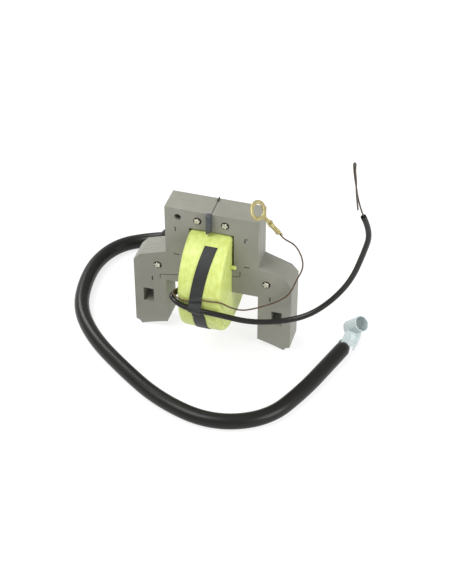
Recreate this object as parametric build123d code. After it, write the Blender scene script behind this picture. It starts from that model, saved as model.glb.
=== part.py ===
"""Flywheel-magneto ignition coil for a small engine, standing on its two pole legs.

Millimetres. +Z is up, -Y is the front, X runs from leg to leg. The origin lies
between the two pole tips, on the surface they stand on, at the middle of the
lamination stack.
"""

from build123d import *
import math
import os

# ---- lamination stack -------------------------------------------------------
stack_depth = 12.7
core_span = 74.0
leg_width = 15.4
leg_length = 28.85  # pole tip up to the underside of the coil bar
bar_height = 12.55
window_height = 19.3
window_width = 20.5
yoke_height = 9.45  # above the window
column_width = 11.2  # each side of the window
shoulder_rise = 3.8  # shoulder root above the top of the bar
shoulder_drop = 4.2  # fall of the shoulder's sloping top
shoulder_chamfer = (3.1, 3.5)
toe_notch = (1.9, 0.8)  # ledge at the outer edge of each pole
toe_height = 2.25
pole_tip_inset = 2.8
flywheel_radius = 94.0  # radius of the concave pole faces

# ---- joint between the two halves ------------------------------------------
spacer_thickness = 0.4
scarf_gap = 0.3
tongue_grip = 2.9  # how far each tongue's tip enters the other half
left_tongue_tip = 2.95
right_tongue_tip = 2.45

# ---- holes and rivets -------------------------------------------------------
rivet_shank_radius = 1.6
rivet_head_radius = 2.0
rivet_head_height = 0.5
rivet_fit = 0.05
yoke_rivet = (6.3, 4.9)  # from the centre line, below the top
leg_rivet = (11.6, 7.8)  # in from the leg's outer face, above the bar's underside
ground_hole_radius = 1.6
ground_hole = (15.45, 4.6)  # from the centre line, below the top
slot_width = 4.9  # square mounting holes
slot_height = 7.5
slot_inset = 4.2  # from the leg's outer face
slot_base = 14.3  # above the pole tips

# ---- coil -------------------------------------------------------------------
coil_top_gap = 0.6  # coil to the top of the window
coil_side_gaps = (0.1, 0.6)  # left and right, coil to the window's sides
front_bulge = 1.0  # extra build in front and behind, clear of the core
form_fit = 0.1  # bar to coil form
form_wall = 1.1
corner_growth = 1.18  # corner radius gained by each millimetre of winding
primary_build = 4.6
barrier_build = 0.8
wrap_thickness = 0.5
wrap_edge_radius = 1.85
cheek_thickness = 1.0
cheek_edge_share = 0.9  # of the cheek's thickness, rounded at its rim
tail_radius = 1.0
tail_length = 2.5
tail_place = (-8.6, 9.8)  # y, and z above the bar's middle
tap_radius = 0.9

# ---- gap keeper and hold-down tape ------------------------------------------
keeper_width = 2.25
keeper_offset = -0.72  # its middle, to the left of the joint
keeper_stand = 2.7  # in front of the stack
keeper_slant = 1.6  # fall of its lower end
keeper_proud = 0.4  # above the stack
spacer_nib = (3.0, 0.8)  # depth and rise of the nib at the back
tape_width = 5.7
tape_thickness = 0.3
tape_arc = (-97.0, 62.0)  # degrees about the bar, 0 at the front, + upwards
lead_fit = 0.05

# ---- high-voltage lead ------------------------------------------------------
hv_radius = 3.5
hv_core_radius = 0.9
boot_radius = 5.5
boot_chamfer = 1.6
boot_reach = 0.62  # share of the route's fourth run that the boot covers
terminal_wall = 0.5
terminal_bore_radius = 3.2
terminal_length = 9.5
terminal_tilt = 46.0  # the barrel's axis above the floor, degrees
terminal_swing = 21.2  # its turn from square across the neck
terminal_reach = 12.9  # end of the lead to the barrel's middle
terminal_lift = 2.6  # barrel's middle above the lead's middle
neck_width = 6.4
neck_top = 1.9
neck_drop = 3.4
spike_radius = 0.7
spike_length = 7.0
neck_turn = 12.0  # degrees, the neck's bend away from the lead's end
neck_shift = 1.0  # neck's middle, to the right of the lead's

# ---- primary and ground leads ----------------------------------------------
sleeve_radius = 1.25
sleeve_bore_radius = 0.95
wire_radius = 0.35
ring_outer_radius = 4.6
ring_bore_radius = 2.75
ring_thickness = 0.8
ring_neck_width = 2.4
crimp_radius = 1.15
crimp_start = 8.4
crimp_length = 7.0
crimp_hold = 4.5  # length of wire inside the barrel

# Routes of the free leads: corner points, start to end.
hv_route = [
    (-3.5, 21.0, 37.0), (-10.5, 36.0, 28.0), (-20.0, 46.5, 17.5), (-33.0, 50.0, 8.6),
    (-50.0, 49.8, 4.2), (-63.0, 42.4, 3.5), (-69.3, 27.0, 3.5), (-68.6, 8.5, 3.5),
    (-63.8, -9.5, 3.5), (-51.0, -26.3, 3.5), (-32.0, -41.5, 3.5), (-9.0, -57.0, 3.5),
    (17.0, -64.5, 3.5), (40.0, -55.0, 3.5), (50.5, -33.0, 3.5), (57.0, -13.0, 3.5),
    (61.2, 0.2, 3.5),
]
sleeve_route = [
    (-10.15, -16.5, 35.2), (-13.0, -20.5, 34.6), (-12.9, -26.2, 36.2), (-5.5, -28.0, 33.3),
    (8.5, -27.5, 32.8), (22.0, -24.8, 29.3), (35.0, -20.0, 28.6), (47.0, -15.8, 31.5),
    (56.5, -12.0, 39.5), (64.0, -9.8, 51.0), (68.3, -9.0, 66.0), (71.0, -10.2, 79.0),
    (67.7, -13.0, 88.2),
]
bare_route = [
    (65.3, -13.9, 96.5), (64.1, -14.3, 103.5), (63.1, -14.5, 109.3), (62.75, -14.6, 112.4),
    (62.6, -14.65, 114.2), (62.75, -14.75, 115.2), (63.6, -15.0, 115.0),
    (63.75, -15.05, 113.9), (63.6, -15.1, 111.6), (64.1, -15.15, 107.6),
    (64.5, -15.3, 101.0), (65.7, -15.4, 92.9),
]
ground_route = [
    (-10.15, -17.5, 38.6), (-12.5, -21.5, 38.6), (-13.0, -24.8, 40.0), (-10.2, -27.2, 37.9),
    (-4.8, -26.9, 36.2), (0.5, -26.6, 38.3), (5.5, -26.7, 38.5), (10.2, -26.3, 38.9),
    (13.0, -22.8, 34.0), (17.0, -17.6, 28.8), (21.2, -11.6, 26.0), (26.5, -8.4, 26.8),
    (33.0, -7.9, 31.0), (37.3, -8.3, 36.8), (39.3, -8.6, 44.0), (42.3, -8.1, 51.2),
    (41.2, -7.0, 56.8), (37.6, -5.9, 61.8), (32.9, -5.55, 63.2),
]
ring_centre = (21.8, -9.2, 79.0)
ring_direction = (0.563, 0.184, -0.804)  # from the eye towards the crimp
ring_normal = (0.794, -0.371, 0.482)

# ---- derived places ---------------------------------------------------------
bar_bottom = leg_length
bar_top = bar_bottom + bar_height
bar_middle = bar_bottom + bar_height / 2
window_top = bar_top + window_height
head_top = window_top + yoke_height
core_half = core_span / 2
window_half = window_width / 2
head_half = window_half + column_width
leg_inner = core_half - leg_width
pole_tip = core_half - pole_tip_inset
front = -stack_depth / 2
back = stack_depth / 2

coil_left = -window_half + coil_side_gaps[0]
coil_right = window_half - coil_side_gaps[1]
coil_build = window_height - coil_top_gap
form_outside = form_fit + form_wall
primary_outside = form_outside + primary_build
barrier_outside = primary_outside + barrier_build
secondary_outside = coil_build - wrap_thickness


def between_faces(drawing):
    """Solid with an outline drawn in X and Z, from the stack's front face to its back."""
    return extrude(Plane.XZ * drawing, amount=stack_depth / 2, both=True)


def pole_height(x):
    """Height of the concave pole face at a distance from the centre line."""
    depth_of_centre = math.sqrt(flywheel_radius**2 - pole_tip**2)
    return math.sqrt(flywheel_radius**2 - x**2) - depth_of_centre


def half_outline(side):
    """Outer edge of one side of the core, from the top centre to the bar's underside."""
    shoulder_root = bar_top + shoulder_rise
    shoulder_end = shoulder_root - shoulder_drop
    ledge = toe_height - toe_notch[1]
    top = [
        (0, head_top),
        (head_half, head_top),
        (head_half, shoulder_root),
        (core_half - shoulder_chamfer[0], shoulder_end),
        (core_half, shoulder_end - shoulder_chamfer[1]),
        (core_half, toe_height),
        (core_half - toe_notch[0], ledge),
        (pole_tip, 0),
    ]
    middle = (pole_tip + leg_inner) / 2
    arc = [(pole_tip, 0), (middle, pole_height(middle)), (leg_inner, pole_height(leg_inner))]
    bottom = [arc[-1], (leg_inner, bar_bottom), (0, bar_bottom)]

    def turned(points):
        return [(side * x, z) for x, z in points]

    return [
        *Polyline(*turned(top)).edges(),
        ThreePointArc(*turned(arc)),
        *Polyline(*turned(bottom)).edges(),
    ]


def rivet_places():
    """Name and place (x, z) of each rivet."""
    yoke_z = head_top - yoke_rivet[1]
    leg_x = core_half - leg_rivet[0]
    leg_z = bar_bottom + leg_rivet[1]
    return {
        "yoke_rivet_left": (-yoke_rivet[0], yoke_z),
        "yoke_rivet_right": (yoke_rivet[0], yoke_z),
        "leg_rivet_left": (-leg_x, leg_z),
        "leg_rivet_right": (leg_x, leg_z),
    }


def whole_core():
    """The stack with its window and every hole, before it is parted into halves."""
    outline = make_face(half_outline(1) + half_outline(-1))
    window = Pos(0, (bar_top + window_top) / 2) * Rectangle(window_width, window_height)
    stack = between_faces(outline) - between_faces(window)
    for side in (-1, 1):
        slot_x = side * (core_half - slot_inset - slot_width / 2)
        slot = Pos(slot_x, slot_base + slot_height / 2) * Rectangle(slot_width, slot_height)
        stack -= between_faces(slot)
    for x, z in rivet_places().values():
        stack -= between_faces(Pos(x, z) * Circle(rivet_shank_radius + rivet_fit))
    ground = Pos(-ground_hole[0], head_top - ground_hole[1]) * Circle(ground_hole_radius)
    return stack - between_faces(ground)


def left_region(gap):
    """Area of the left half: its boundary runs down the joint and along the scarf.

    A positive gap draws the boundary back to the left, a negative one to the right.
    """
    left_end = -leg_inner - tongue_grip
    right_end = window_half + tongue_grip
    left_z = bar_bottom + right_tongue_tip
    right_z = bar_top - left_tongue_tip
    far = core_span
    return make_face(
        Polyline(
            (-far, -far),
            (-leg_inner, -far),
            (-leg_inner, bar_bottom),
            (left_end - gap, bar_bottom),
            (left_end - gap, left_z + gap),
            (right_end - gap, right_z + gap),
            (right_end - gap, bar_top),
            (-spacer_thickness / 2, bar_top),
            (-spacer_thickness / 2, far),
            (-far, far),
            close=True,
        )
    )


def core_halves():
    """Left and right halves, each with the tapered tongue that passes through the coil."""
    stack = whole_core()
    left = stack & between_faces(left_region(scarf_gap / 2))
    right = stack - between_faces(left_region(-scarf_gap / 2))
    height = head_top - window_top
    joint = Pos(0, 0, window_top + height / 2) * Box(spacer_thickness, stack_depth, height)
    return left, right - joint


def gap_spacer():
    """Fibre sheet that sets the air gap at the top joint, with a nib at the back."""
    height = head_top - window_top
    sheet = Pos(0, 0, window_top + height / 2) * Box(spacer_thickness, stack_depth, height)
    nib_depth, nib_rise = spacer_nib
    nib_place = Pos(0, back - nib_depth / 2, head_top + nib_rise / 2)
    return sheet + nib_place * Box(spacer_thickness, nib_depth, nib_rise)


def gap_keeper():
    """Strip in front of the joint, cut on a slant at its lower end."""
    left = keeper_offset - keeper_width / 2
    right = keeper_offset + keeper_width / 2
    top = head_top + keeper_proud
    cut = window_top + keeper_slant
    outline = make_face(
        Polyline((left, top), (right, top), (right, cut), (left, window_top), close=True)
    )
    strip = extrude(Plane.XZ * outline, amount=keeper_stand)
    return Pos(0, front, 0) * strip


def rivet(place):
    """Rivet with a low domed head at each face of the stack."""
    x, z = place
    length = stack_depth + 2 * rivet_head_height
    shank = Cylinder(rivet_shank_radius, length)
    body = shank
    for end in (-1, 1):
        middle = end * (stack_depth + rivet_head_height) / 2
        body += Pos(0, 0, middle) * Cylinder(rivet_head_radius, rivet_head_height)
    rims = body.edges().filter_by(GeomType.CIRCLE).group_by(Axis.Z)
    body = fillet(rims[0] + rims[-1], rivet_head_height * 0.6)
    return Pos(x, 0, z) * Rot(90, 0, 0) * body


# ---- coil: rounded oblongs round the bar, one inside the next -----------------
def ring_outline(offset):
    """Section of a coil layer whose surface lies at an offset from the bar."""
    bulge = front_bulge * offset / coil_build
    depth = stack_depth + 2 * (offset + bulge)
    height = bar_height + 2 * offset
    if offset <= form_fit:
        return Rectangle(depth, height)
    return RectangleRounded(depth, height, corner_growth * (offset - form_fit))


def layer(inner, outer, left, right):
    """Layer of the coil between two offsets from the bar and two places along it."""
    section = ring_outline(outer) - ring_outline(inner)
    plane = Plane(origin=(left, 0, bar_middle), x_dir=(0, 1, 0), z_dir=(1, 0, 0))
    return extrude(plane * section, amount=right - left)


def filled(outer, left, right):
    """Solid oblong out to an offset from the bar."""
    plane = Plane(origin=(left, 0, bar_middle), x_dir=(0, 1, 0), z_dir=(1, 0, 0))
    return extrude(plane * ring_outline(outer), amount=right - left)


def coil_outside():
    """Outer shape of the taped coil, with rounded rims."""
    body = filled(coil_build, coil_left, coil_right)
    ends = body.faces().filter_by(Axis.X)
    return fillet(ends.edges(), wrap_edge_radius)


def winding_ends():
    """Where the windings start and stop between the cheeks."""
    return coil_left + wrap_thickness + cheek_thickness, coil_right - wrap_thickness - cheek_thickness


def coil_wrap(tap):
    """Tape over the rim and both flanks, open towards the bar, with the lead's way in."""
    cavity = filled(secondary_outside, coil_left + wrap_thickness, coil_right - wrap_thickness)
    rims = cavity.faces().filter_by(Axis.X).edges()
    cavity = fillet(rims, cheek_edge_share * cheek_thickness)
    return coil_outside() - cavity - filled(form_fit, coil_left, coil_right) - tap


def cheek(side):
    """Fibre washer at one end of the windings."""
    left, right = winding_ends()
    start = left - cheek_thickness if side < 0 else right
    washer = layer(form_outside, secondary_outside, start, start + cheek_thickness)
    rims = washer.faces().sort_by(Axis.X)[0 if side < 0 else -1].outer_wire().edges()
    return fillet(rims, cheek_edge_share * cheek_thickness)


def way_out():
    """Point and direction where the high-voltage lead passes the back of the coil."""
    coil_back = back + coil_build + front_bulge
    first, second = (Vector(*point) for point in hv_route[:2])
    heading = (second - first).normalized()
    return first + heading * ((coil_back - first.Y) / heading.Y), heading


def secondary_tap():
    """Solder post from the secondary's outer layer out to the lead's core."""
    exit_point, heading = way_out()
    plane = Plane(origin=exit_point, z_dir=heading)
    post = extrude(plane * Circle(tap_radius), amount=4 * tap_radius, both=True)
    return (post & coil_outside()) - filled(secondary_outside, coil_left, coil_right)


def winding_tail():
    """Taped end of a winding that stands out of the right flank."""
    y, rise = tail_place
    plane = Plane(origin=(coil_right, y, bar_middle + rise), z_dir=(1, 0, 0))
    stub = extrude(plane * Circle(tail_radius), amount=tail_length)
    return fillet(stub.edges().sort_by(Axis.X)[-1], tail_radius * 0.4)


# ---- leads --------------------------------------------------------------------
def bend_radii(route):
    """Largest radius that the two runs at each corner of a route allow."""
    radii = []
    for before, corner, after in zip(route, route[1:], route[2:]):
        incoming = Vector(*corner) - Vector(*before)
        outgoing = Vector(*after) - Vector(*corner)
        half_turn = math.radians(incoming.get_angle(outgoing)) / 2
        shorter = min(incoming.length, outgoing.length)
        radii.append(0.45 * shorter / math.tan(half_turn))
    return radii


def lead_line(route, radii):
    """Straight runs joined by tangent arcs."""
    return FilletPolyline(*route, radius=radii)


def tube(line, radius, bore=0.0):
    """Round tube or wire along a line."""
    section = Circle(radius) - Circle(bore) if bore else Circle(radius)
    return sweep(Plane(origin=line @ 0, z_dir=line % 0) * section, path=line)


def hv_boot(radii):
    """Rubber boot round the lead where it leaves the coil, chamfered at its mouth."""
    last_run = Vector(*hv_route[4]) - Vector(*hv_route[3])
    mouth = Vector(*hv_route[3]) + last_run * boot_reach
    line = lead_line([*hv_route[:4], tuple(mouth)], radii[:3])
    body = tube(line, boot_radius)
    rim = body.edges().filter_by(GeomType.CIRCLE).sort_by_distance(line @ 1)[0]
    return chamfer(rim, boot_chamfer) - tube(line, hv_radius) - coil_outside()


def lead_end_plane():
    """Local frame of the lead's end face: x on along the lead, z up."""
    heading = Vector(*hv_route[-1]) - Vector(*hv_route[-2])
    return Plane(origin=hv_route[-1], x_dir=heading, z_dir=(0, 0, 1))


def neck_plane():
    """Local frame of the plug terminal: x along the neck, z up, at the lead's end."""
    end = lead_end_plane()
    turned = end.rotated((0, 0, neck_turn))
    return Plane(origin=end.origin - end.y_dir * neck_shift, x_dir=turned.x_dir, z_dir=end.z_dir)


def barrel_plane():
    """Local frame of the terminal's barrel: z along its bore, towards its open end."""
    neck = neck_plane()
    tilt = math.radians(terminal_tilt)
    centre = neck.origin + neck.x_dir * terminal_reach + neck.z_dir * terminal_lift
    across = neck.rotated((0, 0, -terminal_swing))
    bore = -across.y_dir * math.cos(tilt) + neck.z_dir * math.sin(tilt)
    return Plane(origin=centre, x_dir=across.x_dir, z_dir=bore)


def plug_terminal():
    """Sheet-metal clip: rolled barrel, channel neck and the spike in the lead's core."""
    outside = terminal_bore_radius + terminal_wall
    barrel = barrel_plane() * Cylinder(outside, terminal_length)
    bore = barrel_plane() * Cylinder(terminal_bore_radius, 2 * terminal_length)
    start = neck_width / 2 * math.tan(math.radians(neck_turn))
    length = terminal_reach - start
    place = Pos(start + length / 2, 0, neck_top - neck_drop / 2)
    channel = place * Box(length, neck_width, neck_drop)
    inside = Pos(terminal_wall, 0, -terminal_wall) * place
    channel -= inside * Box(length, neck_width - 2 * terminal_wall, neck_drop)
    shank = spike_length + start + terminal_wall
    spike = Pos(shank / 2 - spike_length, 0, 0) * Rot(0, 90, 0) * Cylinder(spike_radius, shank)
    return neck_plane() * channel + lead_end_plane() * spike + barrel - bore


def ring_plane():
    """Local frame of the ring terminal: x towards the crimp, z out of the eye's face."""
    return Plane(origin=ring_centre, x_dir=ring_direction, z_dir=ring_normal)


def ring_terminal():
    """Flat eye, narrow neck and the crimped barrel that holds the ground wire."""
    eye = Cylinder(ring_outer_radius, ring_thickness)
    neck_length = crimp_start + crimp_length / 3
    neck = Pos(neck_length / 2, 0, 0) * Box(neck_length, ring_neck_width, ring_thickness)
    middle = Pos(crimp_start + crimp_length / 2, 0, 0) * Rot(0, 90, 0)
    body = eye + neck + middle * Cylinder(crimp_radius, crimp_length)
    body -= middle * Cylinder(wire_radius, crimp_length)
    return ring_plane() * (body - Cylinder(ring_bore_radius, 2 * ring_thickness))


def crimped_route():
    """Ground wire's route with its last points inside the crimp barrel."""
    mouth = Vector(*ring_centre) + ring_plane().x_dir * (crimp_start + crimp_length)
    inside = mouth - ring_plane().x_dir * crimp_hold
    outside = mouth + ring_plane().x_dir * 1.2
    return [*ground_route, tuple(outside), tuple(inside)]


def lead_tape(sleeve_line, ground_line):
    """Strip of tape round the coil's front that holds the two leads down."""
    middle_x = (coil_left + coil_right) / 2
    left, right = middle_x - tape_width / 2, middle_x + tape_width / 2
    band = layer(coil_build, coil_build + tape_thickness, left, right)
    start, stop = (math.radians(angle) for angle in tape_arc)
    far = 2 * coil_build + stack_depth
    steps = [start + (stop - start) * i / 4 for i in range(5)]
    wedge = make_face(
        Polyline(
            (0, 0), *[(-far * math.cos(angle), far * math.sin(angle)) for angle in steps], close=True
        )
    )
    plane = Plane(origin=(left, 0, bar_middle), x_dir=(0, 1, 0), z_dir=(1, 0, 0))
    band &= extrude(plane * wedge, amount=tape_width)
    slab = Pos(middle_x, 0, bar_middle) * Box(tape_width, 4 * coil_build, 4 * coil_build)
    for line, radius in ((sleeve_line, sleeve_radius), (ground_line, wire_radius)):
        band += tube(line, radius + lead_fit + tape_thickness) & slab
    for line, radius in ((sleeve_line, sleeve_radius), (ground_line, wire_radius)):
        band -= tube(line, radius + lead_fit)
    return band - coil_outside()


def build():
    """Every node by name."""
    left_half, right_half = core_halves()
    left, right = winding_ends()
    tap = secondary_tap()
    outside = coil_outside()
    nodes = {
        "core_left_half": left_half,
        "core_right_half": right_half,
        "gap_spacer": gap_spacer(),
        "gap_keeper": gap_keeper(),
        "coil_form": layer(
            form_fit, form_outside, coil_left + wrap_thickness, coil_right - wrap_thickness
        ),
        "primary_winding": layer(form_outside, primary_outside, left, right),
        "winding_barrier": layer(primary_outside, barrier_outside, left, right),
        "secondary_winding": layer(barrier_outside, secondary_outside, left, right),
        "coil_cheek_left": cheek(-1),
        "coil_cheek_right": cheek(1),
        "coil_wrap": coil_wrap(tap),
        "secondary_tap": tap,
        "winding_tail": winding_tail(),
    }
    for name, place in rivet_places().items():
        nodes[name] = rivet(place)

    hv_radii = bend_radii(hv_route)
    hv_line = lead_line(hv_route, hv_radii)
    terminal = plug_terminal()
    nodes["hv_boot"] = hv_boot(hv_radii)
    nodes["hv_lead"] = tube(hv_line, hv_radius, hv_core_radius) - outside
    nodes["hv_lead_core"] = tube(hv_line, hv_core_radius) - outside - terminal
    nodes["plug_terminal"] = terminal

    sleeve_radii = bend_radii(sleeve_route)
    sleeve_line = lead_line(sleeve_route, sleeve_radii)
    wire_route = [*sleeve_route, *bare_route]
    wire_radii = bend_radii(wire_route)
    wire_line = lead_line(wire_route, wire_radii)
    whole_ground_route = crimped_route()
    ground_radii = bend_radii(whole_ground_route)
    ground_line = lead_line(whole_ground_route, ground_radii)
    nodes["primary_sleeve"] = tube(sleeve_line, sleeve_radius, sleeve_bore_radius) - outside
    nodes["primary_wire"] = tube(wire_line, wire_radius) - outside
    nodes["ground_wire"] = tube(ground_line, wire_radius) - outside
    nodes["ring_terminal"] = ring_terminal()
    nodes["lead_tape"] = lead_tape(sleeve_line, ground_line)

    for name, line, radii in (
        ("hv_lead", hv_line, hv_radii),
        ("primary_sleeve", sleeve_line, sleeve_radii),
        ("primary_wire", wire_line, wire_radii),
        ("ground_wire", ground_line, ground_radii),
    ):
        print(name, "length", round(line.length, 1), "radii", [round(r, 1) for r in radii])
    return nodes


os.makedirs("parts", exist_ok=True)
for node_name, solid in build().items():
    export_step(solid, os.path.join("parts", node_name + ".step"))
    print(node_name, round(solid.volume, 1))
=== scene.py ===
"""Looks of a flywheel-magneto ignition coil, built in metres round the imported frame.

+Z is up, -Y is the coil's front, and the two pole legs stand on Z = 0.
"""

import logging
import math
from dataclasses import dataclass, field
from enum import Enum
from typing import Callable, Sequence

import bmesh
import bpy
from mathutils import Matrix, Vector, noise


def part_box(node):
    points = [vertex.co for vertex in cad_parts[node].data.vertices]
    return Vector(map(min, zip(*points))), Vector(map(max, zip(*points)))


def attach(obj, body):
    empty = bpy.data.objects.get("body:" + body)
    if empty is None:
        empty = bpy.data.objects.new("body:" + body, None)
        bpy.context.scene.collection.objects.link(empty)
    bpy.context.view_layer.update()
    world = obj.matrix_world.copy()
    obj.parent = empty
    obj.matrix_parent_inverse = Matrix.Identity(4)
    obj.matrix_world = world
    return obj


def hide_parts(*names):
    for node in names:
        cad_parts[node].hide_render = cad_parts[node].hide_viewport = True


LOG = logging.getLogger("ignition_coil")
BODY = "root"
AXIS = 0.00001  # radius where a turned profile meets its axis
Point = tuple[float, float, float]
Colour = tuple[float, float, float]


# ---------------------------------------------------------------------------
# Mesh helpers
# ---------------------------------------------------------------------------
def add_object(name: str, data: bpy.types.ID) -> bpy.types.Object:
    """Link new data into the scene at the origin.

    Args:
        name: Name of the object.
        data: Mesh or curve that the object shows.

    Returns:
        The new object.
    """
    piece = bpy.data.objects.new(name, data)
    bpy.context.scene.collection.objects.link(piece)
    return piece


def grid_mesh(
    name: str,
    rows: Sequence[Sequence[Vector]],
    loop_rows: bool = False,
    loop_points: bool = True,
    cap_ends: bool = False,
) -> bpy.types.Mesh:
    """Skin a grid of points with quads and give it a UV map in metres.

    Args:
        name: Name of the mesh.
        rows: Rows of points, each as long as the first.
        loop_rows: Whether the last row joins the first.
        loop_points: Whether each row closes on itself.
        cap_ends: Whether the first and last rows are closed with a fan.

    Returns:
        A smooth-shaded mesh with its normals outward.
    """
    width = len(rows[0])
    points = [tuple(point) for row in rows for point in row]
    faces = []
    row_count = len(rows) if loop_rows else len(rows) - 1
    point_count = width if loop_points else width - 1
    for i in range(row_count):
        for j in range(point_count):
            low, high = i * width, ((i + 1) % len(rows)) * width
            after = (j + 1) % width
            faces.append((low + j, low + after, high + after, high + j))
    if cap_ends:
        for start, turned in ((0, True), ((len(rows) - 1) * width, False)):
            ring = rows[start // width]
            centre = sum((Vector(p) for p in ring), Vector()) / width
            points.append(tuple(centre))
            hub = len(points) - 1
            for j in range(width):
                pair = (start + j, start + (j + 1) % width)
                faces.append((pair[1], pair[0], hub) if turned else (*pair, hub))
    mesh = bpy.data.meshes.new(name)
    mesh.from_pydata(points, [], faces)
    outward(mesh)
    mesh.shade_smooth()
    add_grid_uv(mesh, rows)
    return mesh


def outward(mesh: bpy.types.Mesh) -> None:
    """Turn every face of a closed mesh to point outwards.

    Args:
        mesh: Mesh whose normals are recalculated in place.
    """
    work = bmesh.new()
    work.from_mesh(mesh)
    bmesh.ops.recalc_face_normals(work, faces=work.faces)
    work.to_mesh(mesh)
    work.free()


def add_grid_uv(mesh: bpy.types.Mesh, rows: Sequence[Sequence[Vector]]) -> None:
    """Lay a UV map on a grid mesh: U runs along the rows, V round each row, in metres.

    Args:
        mesh: Mesh made from the rows.
        rows: The rows of points the mesh was skinned from.
    """
    width = len(rows[0])
    along, total = [0.0], 0.0
    for before, after in zip(rows, rows[1:]):
        total += (Vector(after[0]) - Vector(before[0])).length
        along.append(total)
    layer = mesh.uv_layers.new(name="surface")
    step = (Vector(rows[0][1]) - Vector(rows[0][0])).length
    for loop in mesh.loops:
        index = min(loop.vertex_index, len(rows) * width - 1)
        layer.data[loop.index].uv = (along[index // width], (index % width) * step)


def evaluated_mesh(piece: bpy.types.Object, name: str) -> bpy.types.Mesh:
    """Return the finished mesh of an object with modifiers or a curve.

    Args:
        piece: Object to read.
        name: Name of the new mesh.

    Returns:
        A plain mesh, apart from the object.
    """
    bpy.context.view_layer.update()
    graph = bpy.context.evaluated_depsgraph_get()
    mesh = bpy.data.meshes.new_from_object(piece.evaluated_get(graph))
    mesh.name = name
    return mesh


def baked(piece: bpy.types.Object) -> bpy.types.Object:
    """Replace an object's modifiers with their result.

    Args:
        piece: Mesh object with modifiers.

    Returns:
        The same object, with a plain mesh and no modifiers.
    """
    mesh = evaluated_mesh(piece, piece.name)
    piece.modifiers.clear()
    piece.data = mesh
    return piece


def joined(name: str, meshes: Sequence[bpy.types.Mesh]) -> bpy.types.Mesh:
    """Put several meshes into one.

    Args:
        name: Name of the new mesh.
        meshes: Meshes in the row frame.

    Returns:
        One mesh with every face and the first UV map of each.
    """
    points, faces, uvs, smooth = [], [], [], []
    for mesh in meshes:
        start = len(points)
        points += [tuple(v.co) for v in mesh.vertices]
        layer = mesh.uv_layers[0].data if mesh.uv_layers else None
        for face in mesh.polygons:
            faces.append([start + v for v in face.vertices])
            smooth.append(face.use_smooth)
            uvs += [tuple(layer[i].uv) if layer else (0.0, 0.0) for i in face.loop_indices]
    whole = bpy.data.meshes.new(name)
    whole.from_pydata(points, [], faces)
    whole.polygons.foreach_set("use_smooth", smooth)
    layer = whole.uv_layers.new(name="surface")
    for i, uv in enumerate(uvs):
        layer.data[i].uv = uv
    return whole


def lathe(
    name: str,
    profile: Sequence[tuple[float, float]],
    place: Matrix,
    segments: int = 48,
    shape: Callable[[float, float, float], tuple[float, float]] | None = None,
) -> bpy.types.Mesh:
    """Turn a closed profile of (radius, height) round the local Z axis.

    Args:
        name: Name of the mesh.
        profile: Points of the closed section, in order.
        place: Matrix from the local frame to the row frame.
        segments: Steps round the axis.
        shape: Changes (angle, radius, height) into a new radius and height.

    Returns:
        The turned mesh.
    """
    rows = []
    for i in range(segments):
        angle = 2 * math.pi * i / segments
        row = []
        for radius, height in profile:
            r, h = shape(angle, radius, height) if shape else (radius, height)
            row.append(place @ Vector((r * math.cos(angle), r * math.sin(angle), h)))
        rows.append(row)
    return grid_mesh(name, rows, loop_rows=True)


def sheet_metal(
    name: str, rows: Sequence[Sequence[Vector]], thickness: float
) -> bpy.types.Mesh:
    """Give a folded surface a wall and soft edges.

    Args:
        name: Name of the mesh.
        rows: Rows of points on the surface.
        thickness: Thickness of the wall.

    Returns:
        Closed mesh of the sheet.
    """
    piece = add_object(name, grid_mesh(name, rows, loop_points=False))
    wall = piece.modifiers.new("sheet", "SOLIDIFY")
    wall.thickness = thickness
    wall.offset = 0.0
    smooth = piece.modifiers.new("smooth", "SUBSURF")
    smooth.levels = smooth.render_levels = 1
    result = evaluated_mesh(piece, name)
    bpy.data.objects.remove(piece)
    return result


def frame_at(origin: Vector, x_axis: Vector, z_axis: Vector) -> Matrix:
    """Build a placement from an origin and two directions.

    Args:
        origin: Where the local origin goes.
        x_axis: Rough local X direction.
        z_axis: Exact local Z direction.

    Returns:
        Matrix from the local frame to the row frame.
    """
    z = Vector(z_axis).normalized()
    y = z.cross(Vector(x_axis)).normalized()
    x = y.cross(z)
    turn = Matrix((x, y, z)).transposed().to_4x4()
    return Matrix.Translation(origin) @ turn


def ripple(point: Vector, size: float, seed: float) -> float:
    """Smooth unevenness between -1 and 1 at a place.

    Args:
        point: Place in metres.
        size: Width of one bump in metres.
        seed: Shift that makes one piece differ from another.

    Returns:
        The unevenness.
    """
    return noise.noise(Vector(point) / size + Vector((seed, 1.7 * seed, 0.3 * seed)))


# ---------------------------------------------------------------------------
# Cords
# ---------------------------------------------------------------------------
def route_curve(name: str, route: Sequence[Point], radius: float) -> bpy.types.Object:
    """Draw a smooth lead with the route's points as its control points.

    Args:
        name: Name of the object.
        route: Control points, start to end.
        radius: Half the lead's thickness; 0 leaves the bare line.

    Returns:
        Curve object of one open spline.
    """
    curve = bpy.data.curves.new(name, "CURVE")
    curve.dimensions = "3D"
    spline = curve.splines.new("NURBS")
    spline.points.add(len(route) - 1)
    for control, place in zip(spline.points, route):
        control.co = (*place, 1.0)
    spline.order_u = 3
    spline.use_endpoint_u = True
    spline.resolution_u = 12
    curve.bevel_depth = radius
    curve.bevel_resolution = 5
    curve.use_fill_caps = radius > 0
    return add_object(name, curve)


def route_line(route: Sequence[Point]) -> list[Vector]:
    """Read the points of a route's smooth line.

    Args:
        route: Control points, start to end.

    Returns:
        Points along the spline, in order.
    """
    piece = route_curve("line_only", route, 0.0)
    mesh = evaluated_mesh(piece, "line_only")
    line = [vertex.co.copy() for vertex in mesh.vertices]
    bpy.data.objects.remove(piece)
    bpy.data.meshes.remove(mesh)
    return line


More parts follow.
